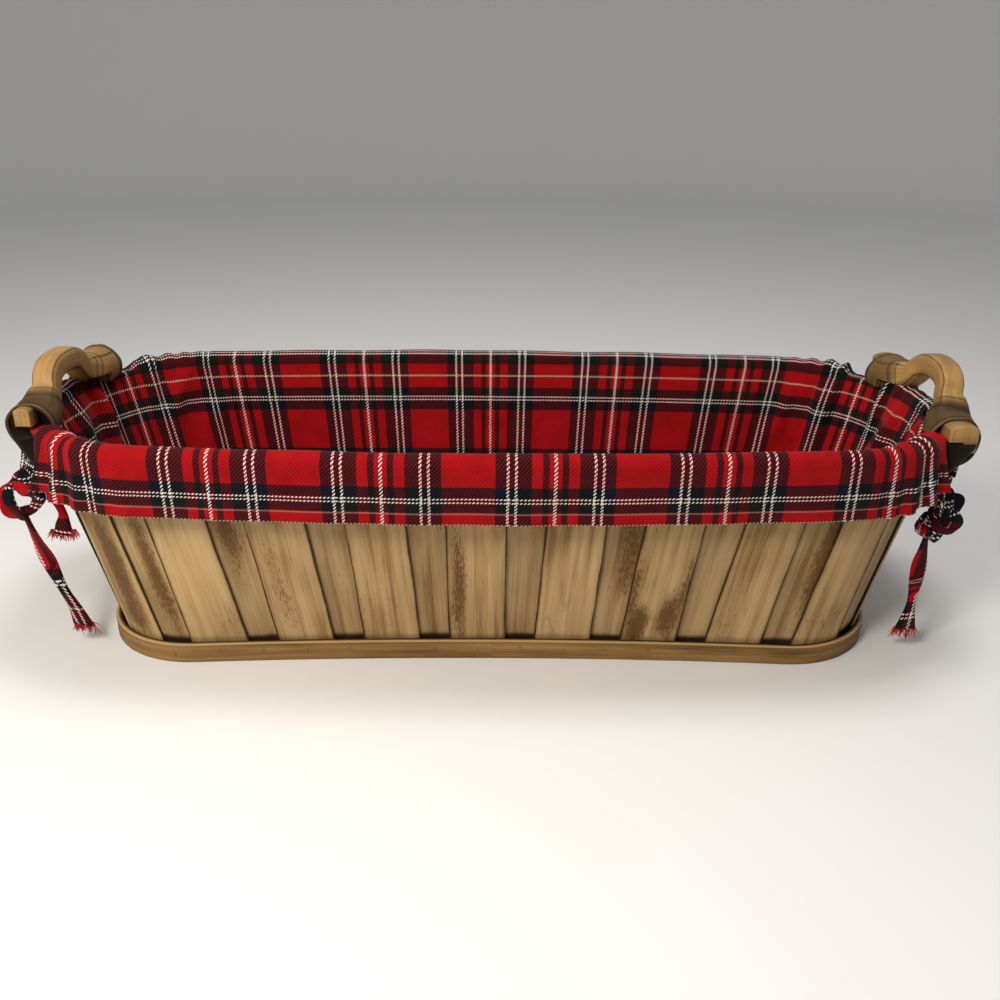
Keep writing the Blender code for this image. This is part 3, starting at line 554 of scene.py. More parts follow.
def grid_piece(name, points, maps, material, ends="capped", keep=None, masks=None):
    """A tube from a grid of points, rows by columns, its last column joined to its first. Its ends are
    capped, open, or joined to each other. Each map is a grid of (u, v), one column longer than the points,
    and one row longer where the ends are joined. keep picks the cells that are there."""
    rows, columns = points.shape[:2]
    corner_rows, corner_columns = cell_corners(rows if ends == "joined" else rows - 1, columns)
    if keep is not None:
        corner_rows, corner_columns = corner_rows[keep][None], corner_columns[keep][None]
    quads = (corner_rows % rows) * columns + corner_columns % columns
    faces = quads.reshape(-1, 4).tolist()
    if ends == "capped":
        faces.append(list(range(columns))[::-1])
        faces.append(list(range((rows - 1) * columns, rows * columns)))
    mesh = new_mesh(name, points, faces)
    for map_name, values in maps.items():
        layer = mesh.uv_layers.new(name=map_name)
        flat = values[corner_rows, corner_columns].reshape(-1, 2)
        if ends == "capped":
            flat = np.vstack([flat, values[0, :columns][::-1], values[rows - 1, :columns]])
        layer.data.foreach_set("uv", flat.astype(np.float32).ravel())
    for mask_name, values in (masks or {}).items():
        layer = mesh.attributes.new(mask_name, "FLOAT", "POINT")
        layer.data.foreach_set("value", np.broadcast_to(values, (rows, columns)).astype(np.float32).ravel())
    return finish_piece(name, mesh, material)


def joined_piece(name, pieces, material):
    """One mesh of many small closed tubes of the same size: an array of count, rows, columns, xyz, each
    joined round its columns and capped at both ends."""
    count, rows, columns = pieces.shape[:3]
    corner_rows, corner_columns = cell_corners(rows - 1, columns)
    quads = (corner_rows * columns + corner_columns % columns).reshape(-1, 4)
    starts = np.arange(count) * rows * columns
    faces = (quads[None] + starts[:, None, None]).reshape(-1, 4).tolist()
    cell = np.arange(columns)
    for start in starts:
        faces.append((start + cell[::-1]).tolist())
        faces.append((start + (rows - 1) * columns + cell).tolist())
    return finish_piece(name, new_mesh(name, pieces, faces), material)


def finish_piece(name, mesh, material):
    """An object for a mesh, facing outwards, smooth but for its sharp edges, riding on the basket."""
    if signed_volume(mesh) < 0:
        mesh.flip_normals()
    mesh.materials.append(material)
    mesh.shade_smooth()
    mesh.set_sharp_from_angle(angle=math.radians(40))
    made = new_object(name, mesh)
    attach(made, "root")
    return made


def signed_volume(mesh):
    """Six times the volume inside the faces, negative where they point inwards."""
    mesh.calc_loop_triangles()
    corners = np.empty(len(mesh.loop_triangles) * 3, np.int32)
    mesh.loop_triangles.foreach_get("vertices", corners)
    places = np.empty(len(mesh.vertices) * 3)
    mesh.vertices.foreach_get("co", places)
    a, b, c = places.reshape(-1, 3)[corners.reshape(-1, 3)].transpose(1, 0, 2)
    return float((np.cross(a, b) * c).sum())


def stand_for(made, node):
    """The piece stands for a CAD node, which is hidden."""
    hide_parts(node)


# Shader building


def new_group(name, inputs, outputs):
    """A node group with float or vector inputs and colour or value outputs."""
    group = bpy.data.node_groups.new(name, "ShaderNodeTree")
    for label, kind in inputs:
        group.interface.new_socket(label, in_out="INPUT", socket_type=f"NodeSocket{kind}")
    for label, kind in outputs:
        group.interface.new_socket(label, in_out="OUTPUT", socket_type=f"NodeSocket{kind}")
    return group, group.nodes.new("NodeGroupInput"), group.nodes.new("NodeGroupOutput")


def feed(tree, socket, value):
    """Links a socket to another node's, or sets its value. None leaves it as it is."""
    if isinstance(value, bpy.types.NodeSocket):
        tree.links.new(value, socket)
    elif value is not None:
        socket.default_value = value


def put(tree, kind, *feeds, **settings):
    """A node with its settings, and its first inputs fed in order."""
    node = tree.nodes.new(f"ShaderNode{kind}")
    for label, value in settings.items():
        setattr(node, label, value)
    for socket, value in zip(node.inputs, feeds):
        feed(tree, socket, value)
    return node


def calculate(tree, operation, *feeds):
    """The result of a Math node."""
    return put(tree, "Math", *feeds, operation=operation).outputs[0]


def times(tree, first, second):
    """A product."""
    return calculate(tree, "MULTIPLY", first, second)


def plus(tree, first, second):
    """A sum."""
    return calculate(tree, "ADD", first, second)


def minus(tree, first, second):
    """A difference."""
    return calculate(tree, "SUBTRACT", first, second)


def blend(tree, amount, first, second, kind="MIX"):
    """A colour mixed from two by an amount."""
    node = put(tree, "Mix", amount, data_type="RGBA", blend_type=kind)
    for socket, colour in zip(node.inputs[6:8], (first, second)):
        feed(tree, socket, (*colour, 1) if isinstance(colour, tuple) else colour)
    return node.outputs[2]


def paint(tree, colour, cover, strength, tone):
    """A tone laid over a colour where cover is near 1, at a strength."""
    return blend(tree, times(tree, cover, strength), colour, tone)


def ramp(tree, factor, stops, interpolation="LINEAR"):
    """A colour ramp with (share, colour) stops."""
    node = put(tree, "ValToRGB", factor)
    node.color_ramp.interpolation = interpolation
    elements = node.color_ramp.elements
    while len(elements) < len(stops):
        elements.new(0.5)
    for element, (share, colour) in zip(elements, stops):
        element.position = share
        element.color = (*colour, 1)
    return node.outputs[0]


def two_tones(tree, factor, tones, low, high):
    """A ramp from the darker of two tones at low to the lighter at high."""
    return ramp(tree, factor, [(low, tones[1]), (high, tones[0])])


def step_up(tree, value, low, high):
    """A smooth step from 0 at low to 1 at high."""
    node = put(tree, "MapRange", value, low, high, 0.0, 1.0, interpolation_type="SMOOTHSTEP")
    return node.outputs[0]


def rescale(tree, value, low, high, new_low, new_high):
    """A value's range from low to high carried to a new range, and held at its ends."""
    return put(tree, "MapRange", value, low, high, new_low, new_high).outputs[0]


def noise(tree, vector, rate, detail, roughness=0.55):
    """Noise between 0 and 1 on a vector: rate is its cycles to a metre, one number or one for each axis."""
    if not np.isscalar(rate):
        vector = put(tree, "Mapping", vector, None, None, rate, vector_type="POINT").outputs[0]
        rate = 1.0
    node = put(tree, "TexNoise", vector)
    for label, value in (("Scale", rate), ("Detail", detail), ("Roughness", roughness)):
        node.inputs[label].default_value = value
    return node.outputs["Fac"]


def uv_map(tree, name):
    """The vector of a named UV map."""
    return put(tree, "UVMap", uv_map=name).outputs[0]


def mask(tree, name):
    """A named value that the mesh carries."""
    return put(tree, "Attribute", attribute_name=name).outputs["Fac"]


def object_place(tree):
    """The place on the object, in metres."""
    return put(tree, "TexCoord").outputs["Object"]


def new_material(name, roughness, specular=0.5):
    """A material, its node tree and its Principled shader."""
    material = bpy.data.materials.new(name)
    material.use_nodes = True
    shader = material.node_tree.nodes["Principled BSDF"]
    shader.inputs["Roughness"].default_value = roughness
    shader.inputs["Specular IOR Level"].default_value = specular
    return material, material.node_tree, shader


def relief(tree, shader, height, distance, strength=0.5):
    """A bump from a height into the shader's normal."""
    node = tree.nodes.new("ShaderNodeBump")
    node.inputs["Strength"].default_value = strength
    node.inputs["Distance"].default_value = distance
    tree.links.new(height, node.inputs["Height"])
    tree.links.new(node.outputs[0], shader.inputs["Normal"])


def tartan_group():
    """Two sets of coloured threads that cross. Along each, distance over the half repeat, folded back and
    forth, picks the colour. The twill shows warp where a slanted sine is above zero, and weft elsewhere.
    Where both threads are dark the two mix towards the darker, and the twill's valleys are shaded."""
    outputs = [("Color", "Color"), ("Height", "Float")]
    group, given, made = new_group("tartan", [("Cloth", "Vector")], outputs)
    cloth = given.outputs[0]
    across, down = put(group, "SeparateXYZ", cloth).outputs[:2]
    warp_place = calculate(group, "PINGPONG", calculate(group, "DIVIDE", across, WARP_HALF), 1.0)
    weft_place = calculate(group, "PINGPONG", calculate(group, "DIVIDE", down, WEFT_HALF), 1.0)
    warp = ramp(group, warp_place, WARP_SHARES, "CONSTANT")
    weft = ramp(group, weft_place, WEFT_SHARES, "CONSTANT")
    wander = times(group, noise(group, cloth, 260.0, 1.0), TWILL_WANDER)
    slant = plus(group, minus(group, across, down), wander)
    twill = calculate(group, "SINE", times(group, slant, FULL_TURN / TWILL_PITCH))
    woven = blend(group, step_up(group, twill, 0.0, 0.22), weft, warp)
    darker = blend(group, 1.0, warp, weft, "DARKEN")
    lighter = put(group, "SeparateColor", blend(group, 1.0, warp, weft, "LIGHTEN")).outputs[1]
    muted = rescale(group, lighter, 0.0, 0.6, 0.70, 0.04)
    shade = rescale(group, noise(group, cloth, 90.0, 4.0), 0.3, 0.7, 0.80, 1.10)
    valley = step_up(group, calculate(group, "ABSOLUTE", twill), 0.0, 0.55)
    tone = times(group, shade, rescale(group, valley, 0.0, 1.0, 0.50, 1.08))
    scaled = put(group, "VectorMath", blend(group, muted, woven, darker), operation="SCALE")
    group.links.new(tone, scaled.inputs["Scale"])
    group.links.new(scaled.outputs[0], made.inputs[0])
    group.links.new(twill, made.inputs[1])
    return group


def grain_group():
    """Wood along the vector's Y: a fine streak and a broad one, and a slow change of tone."""
    inputs = [("Grain", "Vector"), ("Streak", "Float")]
    group, given, made = new_group("grain", inputs, [("Tone", "Float"), ("Height", "Float")])
    grain, streak = given.outputs[:2]
    fine = noise(group, grain, (1400, 26, 1400), 5.0, 0.65)
    broad = noise(group, grain, (230, 6, 230), 3.0, 0.5)
    slow = noise(group, grain, (35, 14, 35), 2.0, 0.5)
    streaks = times(group, minus(group, fine, 0.5), streak)
    tone = plus(group, plus(group, broad, streaks), minus(group, slow, 0.5))
    group.links.new(tone, made.inputs[0])
    group.links.new(fine, made.inputs[1])
    return group


TARTAN = tartan_group()
GRAIN = grain_group()


def cloth_material(name):
    """Tartan cloth, with the stitched line of the hem where the mesh marks it."""
    material, tree, shader = new_material(name, 0.88, 0.08)
    shader.inputs["Sheen Weight"].default_value = 0.04
    shader.inputs["Sheen Roughness"].default_value = 0.5
    cloth = put(tree, "Group", node_tree=TARTAN)
    feed(tree, cloth.inputs[0], uv_map(tree, "cloth"))
    sewn = step_up(tree, mask(tree, "hem"), 0.72, 0.92)
    tree.links.new(paint(tree, cloth.outputs[0], sewn, 0.35, HEM_THREAD), shader.inputs["Base Color"])
    relief(tree, shader, cloth.outputs[1], TWILL_RELIEF, 0.6)
    return material


def slat_material(name, tones, foot_shade_strength):
    """Thin wood: grain up the slat, contour lines of flat-sawn wood, torched edges where across is near 0
    or 1, speckled burns where the mesh marks them, and a dark foot just above the hoop, painted shade with
    some scorch."""
    material, tree, shader = new_material(name, 0.6, 0.15)
    place = uv_map(tree, "place")
    across, up = put(tree, "SeparateXYZ", uv_map(tree, "share")).outputs[:2]
    grain = put(tree, "Group", node_tree=GRAIN)
    feed(tree, grain.inputs[0], place)
    feed(tree, grain.inputs[1], 0.8)
    light, middle, dark = tones
    colour = ramp(tree, grain.outputs[0], [(0.22, dark), (0.45, middle), (0.72, light)])
    slow = noise(tree, place, (42, 13, 42), 3.0)
    figure = noise(tree, place, (48, 7, 48), 1.5, 0.4)
    rings = calculate(tree, "PINGPONG", times(tree, figure, 17.0), 1.0)
    ring_line = minus(tree, 1.0, step_up(tree, rings, 0.0, 0.22))
    ring_strength = times(tree, step_up(tree, slow, 0.45, 0.6), 0.32)
    colour = paint(tree, colour, ring_line, ring_strength, RING_BROWN)
    ragged = times(tree, minus(tree, noise(tree, place, (1300, 260, 1300), 4.0, 0.65), 0.5), 2.6)
    blotch = times(tree, minus(tree, slow, 0.52), 1.6)
    marked = plus(tree, mask(tree, "burn"), blotch)
    colour = paint(tree, colour, step_up(tree, marked, 0.0, 0.75), 0.7, HAZE_BROWN)
    colour = paint(tree, colour, step_up(tree, plus(tree, marked, ragged), 0.28, 0.80), 0.88, SCORCH)
    edge = calculate(tree, "ABSOLUTE", minus(tree, times(tree, across, 2.0), 1.0))
    wander = times(tree, noise(tree, place, (60, 30, 60), 3.0, 0.6), 0.16)
    rough_edge = plus(tree, edge, wander)
    colour = paint(tree, colour, step_up(tree, rough_edge, 0.88, 1.08), 0.52, EDGE_BROWN)
    colour = paint(tree, colour, step_up(tree, rough_edge, 1.010, 1.045), 0.94, EDGE_CHAR)
    # The dark foot just above the hoop is painted shade in the recess there, with some scorch; the inner
    # slats take it near black
    foot = minus(tree, plus(tree, 0.094, times(tree, slow, 0.03)), up)
    colour = paint(tree, colour, step_up(tree, foot, -0.018, 0.012), foot_shade_strength, FOOT_SHADE_AND_CHAR)
    tree.links.new(colour, shader.inputs["Base Color"])
    relief(tree, shader, grain.outputs[1], SLAT_RELIEF)
    return material


def hidden_wood_material(name, tones, rate):
    """Wood for the solids under the cloth, its grain along the axis with the lowest rate."""
    material, tree, shader = new_material(name, 0.65)
    tone = noise(tree, object_place(tree), rate, 5.0, 0.6)
    tree.links.new(two_tones(tree, tone, tones, 0.3, 0.7), shader.inputs["Base Color"])
    relief(tree, shader, tone, WOOD_RELIEF, 0.4)
    return material


def hoop_material():
    """Brown hoop: grain round it, a painted highlight along its top ledge, and darker at its foot and in a
    line under the ledge.
    """
    material, tree, shader = new_material("hoop", 0.6, 0.2)
    turned = put(tree, "Mapping", uv_map(tree, "place"), None, (0, 0, math.pi / 2)).outputs[0]
    grain = put(tree, "Group", node_tree=GRAIN)
    feed(tree, grain.inputs[0], turned)
    feed(tree, grain.inputs[1], 0.7)
    light, middle, dark = HOOP_TONES
    colour = ramp(tree, grain.outputs[0], [(0.2, dark), (0.5, middle), (0.8, light)])
    # Painted highlight along the top ledge
    colour = paint(tree, colour, step_up(tree, mask(tree, "ledge_highlight"), 0.4, 0.9), 0.75, LEDGE_HIGHLIGHT_TONE)
    colour = paint(tree, colour, step_up(tree, mask(tree, "dark"), 0.2, 0.9), 1.0, HOOP_DARK_BROWN)
    tree.links.new(colour, shader.inputs["Base Color"])
    relief(tree, shader, grain.outputs[1], WOOD_RELIEF)
    return material


def bamboo_material():
    """Bamboo: fibres along the bar, a brown skin where the mesh marks it, a dark line on its edges, flecks,
    and near black where the mesh marks it, which is also dull: char on scored lines and rings, and painted
    shade in the knees' hollow ends and on the tongues."""
    material, tree, shader = new_material("bamboo", 0.5, 0.25)
    place = uv_map(tree, "place")
    corner = put(tree, "SeparateXYZ", uv_map(tree, "share")).outputs[0]
    fibre = noise(tree, place, (900, 30, 900), 4.0, 0.6)
    slow = noise(tree, place, (70, 40, 70), 3.0, 0.5)
    pale = two_tones(tree, fibre, BAMBOO_TONES, 0.25, 0.75)
    skin = two_tones(tree, slow, SKIN_TONES, 0.3, 0.7)
    tanned = paint(tree, pale, step_up(tree, slow, 0.42, 0.70), 0.8, TANNED_BAMBOO)
    colour = blend(tree, mask(tree, "skin"), tanned, skin)
    wander = times(tree, noise(tree, place, (90, 90, 90), 3.0, 0.6), 0.05)
    line = minus(tree, 1.0, step_up(tree, plus(tree, corner, wander), 0.045, 0.075))
    colour = paint(tree, colour, line, 0.8, BAMBOO_LINE)
    flecks = step_up(tree, noise(tree, place, (700, 160, 700), 3.0, 0.6), 0.66, 0.72)
    colour = paint(tree, colour, flecks, 0.55, BAMBOO_FLECK)
    char_and_shade = mask(tree, "char_and_shade")
    tree.links.new(blend(tree, char_and_shade, colour, BAMBOO_CHAR_AND_SHADE), shader.inputs["Base Color"])
    tree.links.new(rescale(tree, char_and_shade, 0.0, 1.0, 0.5, 0.95), shader.inputs["Roughness"])
    relief(tree, shader, fibre, BAMBOO_RELIEF)
    return material


def mottled_material(name, colour, roughness, metallic=0.0):
    """A finish with a slight mottle."""
    material, tree, shader = new_material(name, roughness)
    shader.inputs["Metallic"].default_value = metallic
    tone = noise(tree, object_place(tree), 300.0, 3.0)
    darker = tuple(value * 0.75 for value in colour)
    tree.links.new(two_tones(tree, tone, (colour, darker), 0.3, 0.7), shader.inputs["Base Color"])
    return material


LINER_CLOTH = cloth_material("liner_cloth")
TIE_CLOTH = cloth_material("tie_cloth")
# The last number is the strength of the painted shade and scorch at the foot: light on the outer slats, near
# black on the inner slats in their recess
OUTER_WOOD = slat_material("outer_wood", OUTER_TONES, 0.35)
INNER_WOOD = slat_material("inner_wood", INNER_TONES, 0.97)
HOOP_WOOD = hoop_material()
RIM_WOOD = hidden_wood_material("rim_wood", RIM_TONES, (60, 60, 500))
PANEL_WOOD = hidden_wood_material("panel_wood", PANEL_TONES, (12, 300, 300))
BAMBOO = bamboo_material()
BRAD_STEEL = mottled_material("brad_steel", NAIL_BROWN, 0.5, 0.6)
RED_YARN = mottled_material("red_yarn", YARN_RED, 0.9)


def outer_and_inner(face):
    """Values across a thin slat's outer face, then back across its inner face to where they began."""
    return np.concatenate([face, face[:, ::-1], face[:, :1]], axis=1)


def make_slat(layer, number, middle, outset, material, seed):
    """A slat as a ring of points round its thickness, at rows from its foot to its top. Its faces are
    across by height, its edges wander by a few tenths of a millimetre, and they are eased a little. Its
    burns are bells across and up."""
    name = f"{layer}_slat_{number:02d}"
    height = np.linspace(GAP, SLAT_TOP, SLAT_ROWS)[:, None]
    across = np.linspace(-1, 1, SLAT_COLUMNS)[None, :]
    wander = SLAT_EDGE_WANDER * bumps(height * 22, seed * 3.7 + np.sign(across) * 1.3, 5)
    place = across * (SLAT_WIDTH / 2 - SLAT_SIDE_GAP + wander * (np.abs(across) > 0.99))
    easing = SLAT_EDGE_EASE * grow(np.abs(across), 0.8, 0.2)
    along = middle + place / perimeter(height)
    outer = wall(along, height, outset - easing)
    inner = wall(along, height, outset - SLAT_THICKNESS + easing)
    points = np.concatenate([outer, inner[:, ::-1]], axis=1)
    grain = grids(outer_and_inner(place) + seed * GRAIN_STEPS[0], height + seed * GRAIN_STEPS[1])
    shares = grids(outer_and_inner((across + 1) / 2 + 0 * height), height / SLAT_TOP)
    burn = 0 * place
    for over, level, wide, tall, strength in BURNS.get(name, []):
        burn = burn + strength * bell(across - over, wide) * bell(height - level, tall)
    masks = {"burn": np.concatenate([burn, burn[:, ::-1]], axis=1)}
    made = grid_piece(f"{name}_wood", points, {"place": grain, "share": shares}, material, masks=masks)
    stand_for(made, name)


def make_slats():
    """Outer slats at an even pitch, and inner slats behind the gaps between them."""
    behind = -SLAT_THICKNESS - LAYER_GAP
    for index in range(SLAT_COUNT):
        place = SLAT_SHIFT / FOOT_ROUND + index / SLAT_COUNT
        make_slat("outer", index + 1, place, 0.0, OUTER_WOOD, index)
        make_slat("inner", index + 1, place + 0.5 / SLAT_COUNT, behind, INNER_WOOD, index + INNER_SEED)


def make_hoop():
    """The bottom hoop: a closed profile of outsets and heights carried round the outline. Each point of
    the profile also says how much painted highlight the hoop gets there and how dark it is."""
    face = GAP + HOOP_THICKNESS
    soft = HOOP_ROUNDING
    # Rows: outset, height, share of painted highlight on the top ledge, and how dark the hoop is
    profile = np.array(
        [
            (GAP, 0.0, 0.0, 1.0),
            (face - soft / 2, 0.0, 0.0, 0.8),
            (face, soft / 2, 0.0, 0.45),
            (face, HOOP_HEIGHT / 2, 0.0, 0.0),
            (face, HOOP_HEIGHT - soft, 0.3, 0.42),
            (face - soft / 3, HOOP_HEIGHT - soft / 3, 0.9, 0.0),
            (face - soft, HOOP_HEIGHT, 1.0, 0.1),
            (GAP, HOOP_HEIGHT, 0.0, 1.0),
        ]
    )
    outset, height, ledge_highlight, dark = profile.T[:, :, None]
    along = np.linspace(0, 1, HOOP_COLUMNS, endpoint=False)
    run = np.append(along, 1.0) * FOOT_ROUND
    place = grids(run[None, :], np.append(height + outset, 0.0)[:, None])
    masks = {"ledge_highlight": ledge_highlight, "dark": dark}
    points = wall(along[None, :], height, outset)
    made = grid_piece("bottom_hoop_wood", points, {"place": place}, HOOP_WOOD, "joined", masks=masks)
    stand_for(made, "bottom_hoop")


def make_brads():
    """Small domed nail heads on the hoop, one in each slat: rings that shrink as they rise."""
    places = (SLAT_SHIFT / FOOT_ROUND + np.arange(2 * SLAT_COUNT) * 0.5 / SLAT_COUNT)[:, None, None]
    turn = np.linspace(0, FULL_TURN, 10, endpoint=False)
    size = np.array(BRAD_SHARES)[:, None] * BRAD_RADIUS
    rise = np.array(BRAD_RISES)[:, None]
    along = places + size * np.cos(turn) / FOOT_ROUND
    height = HOOP_HEIGHT * 0.55 + BRAD_SCATTER * np.sin(places * 977) + size * np.sin(turn)
    made = joined_piece("hoop_brads", wall(along, height, GAP + HOOP_THICKNESS + rise), BRAD_STEEL)


def cloth_stations():
    """Distances round the rim for the cloth's columns, with stations exactly on the slits' edges, and each
    one's distance from the nearest end's middle."""
    quarter = RIM_ROUND / 4
    edges = [0, SLIT_START, SLIT_END, quarter]
    parts = []
    for first, last in zip(edges, edges[1:]):
        count = max(2, round((last - first) / STATION_PITCH))
        parts.append(np.linspace(first, last, count, endpoint=False))
    out = np.concatenate([*parts, [quarter]])
    half_round = np.concatenate([quarter - out[:0:-1], quarter + out[:-1]])
    run = np.concatenate([half_round, half_round + 2 * quarter])
    return run, np.abs(run % (2 * quarter) - quarter)


def warp_distance(run):
    """Where a thread lies across the cloth, for distances round the rim: even along the front and back,
    and with a little more cloth gathered in at the corners."""
    half = RIM_ROUND / 2
    back = BACK_HALVES * WARP_HALF - BACK_SHIFT
    last = ROUND_HALVES * WARP_HALF + WARP_START
    places = [0.0, EVEN_HALF, half - EVEN_HALF, half + EVEN_HALF, 2 * half - EVEN_HALF, 2 * half]
    threads = [WARP_START, WARP_START + EVEN_HALF, back - EVEN_HALF, back + EVEN_HALF, last - EVEN_HALF, last]
    return np.interp(run, places, threads)


def flare_share(reach):
    """How much the skirt stands off beside a slit: fully just past it, fading along the side, and up to
    half as much on the flap between an end's two slits."""
    past = (1 - grow(np.abs(reach - SLIT_END), 0, SLIT_FLARE_REACH)) * (reach > SLIT_END - GAP)
    return past + 0.5 * grow(reach, 0, SLIT_START) * (reach < SLIT_START + GAP)


def cloth_profile():
    """The bag's section: rows of outsets, heights and directions away from the wood, from the foot up the
    wall, over the rim in a half circle and down the skirt."""
    climb = np.linspace(0, 1, CLIMB_ROWS)
    straight = np.linspace(FOLD_START, RIM_HEIGHT, STRAIGHT_ROWS + 1)[1:]
    turn = np.linspace(0, math.pi, FOLD_ROWS + 2)[1:-1]
    fall = np.linspace(0, 1, SKIRT_ROWS)
    radius = (SKIRT_OUTSET - INSIDE_OUTSET) / 2
    middle = (SKIRT_OUTSET + INSIDE_OUTSET) / 2
    outset = [
        FOOT_OUTSET + (INSIDE_OUTSET - FOOT_OUTSET) * climb,
        np.full(STRAIGHT_ROWS, INSIDE_OUTSET),
        middle - radius * np.cos(turn),
        np.full(SKIRT_ROWS, SKIRT_OUTSET),
    ]
    height = [
        WALL_FOOT + (FOLD_START - WALL_FOOT) * climb,
        straight,
        RIM_HEIGHT + radius * np.sin(turn),
        RIM_HEIGHT - SKIRT_DEPTH * fall,
    ]
    away = [np.full(CLIMB_ROWS + STRAIGHT_ROWS, math.pi), math.pi - turn, np.zeros(SKIRT_ROWS)]
    return np.concatenate(outset), np.concatenate(height), np.concatenate(away), radius


def cloth_folds(run, reach, over, length, drop, fold_edge):
    """How far the cloth is pushed away from the wood: tight pleats that fade with distance from the slits,
    slow waves, the skirt's flare beside the slits, and slanting folds inside the ends."""
    past = bell(reach - SLIT_END, PLEAT_REACH_PAST) * (reach >= SLIT_END)
    gather = past + bell(reach - SLIT_START, PLEAT_REACH_BETWEEN) * (reach < SLIT_END)
    pleat = wave((run + PLEAT_WANDER * bumps(over * 30, run * 25, 3)) / PLEAT_PERIOD)
    near_top = np.clip(1 - np.clip(-over - PLEAT_DEPTH, 0, None) / PLEAT_FADE, 0, 1)
    out = (PLEAT_HEIGHT + PLEAT_GROWTH * drop) * gather * pleat * near_top
    waves = 0.5 + 0.5 * bumps(run * 24, over * 14, 8)
    out = out + WAVE_HEIGHT * waves * np.clip(1.2 - np.abs(over) / WAVE_FADE, 0.35, 1)
    out = out + SLIT_FLARE * flare_share(reach) * drop
    out = out + SKIRT_WAVE_HEIGHT * drop * wave(run / SKIRT_WAVE_PERIOD)
    inside = (over < -fold_edge) * grow(-over, FOLD_TOP, FOLD_FADE)
    ends = grow(FOLD_END_REACH - reach, 0, FOLD_END_FADE)
    bent = 2.2 / FULL_TURN * bumps(run * 16, over * 12, 17)
    folds = wave(run / FOLD_PERIOD + over / FOLD_SLANT + bent)
    return out + FOLD_HEIGHT * inside * ends * folds**2 * grow(length, FOLD_FOOT, FOLD_FOOT_FADE)


def cloth_threads(run, over):
    """The pattern's place on the bag: across by the warp's distance, and down by a table of distances from
    the crest, lower on the front half than on the back."""
    run = np.append(run, RIM_ROUND)
    from_front = 0.5 - np.abs(run / RIM_ROUND - 0.5)
    back = ease(grow(from_front, 0.185, 0.06))
    down = np.interp(over, THREAD_PLACES, THREAD_ROWS) + BACK_THREAD_SHIFT * back
    return grids(warp_distance(run)[None, :], down)


def make_liner():
    """The bag's wall, fold and skirt as one sheet: its section carried round the rim, pushed out by its
    folds, lifted at the slits' outer edges and pressed flat under the handles, with the slits cut out."""
    run, reach = cloth_stations()
    outset, height, away, radius = cloth_profile()
    length = path_length(np.stack([outset, height], axis=-1))
    crest = int(np.argmax(height))
    over = (length - length[crest])[:, None]
    fold_edge = radius * math.pi / 2
    drop = np.clip(over - fold_edge, 0, None) / SKIRT_DEPTH
    pressed = ease(grow(np.minimum(reach - SLIT_START, SLIT_END - reach), 0, PRESS_REACH))
    out = cloth_folds(run, reach, over, length[:, None], drop, fold_edge)
    spread = outset[:, None] + out * (1 - pressed) * np.cos(away)[:, None]
    lift = SLIT_LIFT * drop * bell(reach - SLIT_END, SLIT_LIFT_REACH)
    level = height[:, None] + out * np.sin(away)[:, None] + lift
    above = np.clip(level - RIM_HEIGHT, 0, None)
    level = level - above * PRESS_SHARE * pressed + PRESS_LIFT * pressed * (above > 0)
    along = (run / RIM_ROUND)[None, :]
    on_wall = wall(along, np.minimum(level, RIM_HEIGHT), spread)
    at_rim = wall(along, RIM_HEIGHT, spread)
    points = np.where((over > -fold_edge)[..., None], at_rim, on_wall)
    points[..., 2] = level

    hem_share = 1 - 3 / (SKIRT_ROWS - 1)
    hem = np.clip(1 - np.abs(drop - hem_share) * (SKIRT_ROWS - 1), 0, 1)
    row_middle = (np.arange(len(height) - 1) + 0.5)[:, None]
    cell_reach = np.abs((run + 2 * GAP) % (RIM_ROUND / 2) - RIM_ROUND / 4)
    in_slit = (cell_reach > SLIT_START) & (cell_reach < SLIT_END)
    keep = ~(in_slit[None, :] & (row_middle > crest + SLIT_ROWS_PAST_CREST))
    maps = {"cloth": cloth_threads(run, over)}
    made = grid_piece("liner_wall", points, maps, LINER_CLOTH, "open", keep, {"hem": hem})
    thicken(made)
    stand_for(made, "liner")


def thicken(made):
    """Gives a sheet its thickness, half to each side."""
    cloth = made.modifiers.new("cloth", "SOLIDIFY")
    cloth.thickness = CLOTH_THICKNESS
    cloth.offset = 0


def make_liner_floor():
    """The bag's floor: the outline at the panel, drawn in towards its middle line in even shares, with a
    few shallow wrinkles and its edge turned up to meet the wall."""
    along = np.linspace(0, 1, FLOOR_COLUMNS, endpoint=False)[None, :]
    share = np.linspace(1, 0.02, FLOOR_ROWS)[:, None]
    edge = wall(along, FLOOR_LEVEL, FOOT_OUTSET)
    spine = np.clip(edge[..., :1], -FLOOR_SPINE, FLOOR_SPINE) * RIGHT
    points = spine + (edge - spine) * share[..., None]
    wrinkles = 0.5 + 0.5 * bumps(points[..., 0] * 22, points[..., 1] * 30, 12)
    points[..., 2] = FLOOR_LEVEL + FLOOR_LIFT + FLOOR_WRINKLE * wrinkles
    points[..., 2] += FLOOR_EDGE_RISE * grow(share, 0.955, 0.045) ** 2
    flat = np.concatenate([points[..., :2], points[:, :1, :2]], axis=1) + FLOOR_PATTERN_SHIFT
    made = grid_piece("liner_floor", points, {"cloth": flat}, LINER_CLOTH, "open", masks={"hem": 0.0})
    thicken(made)
    stand_for(made, "liner")


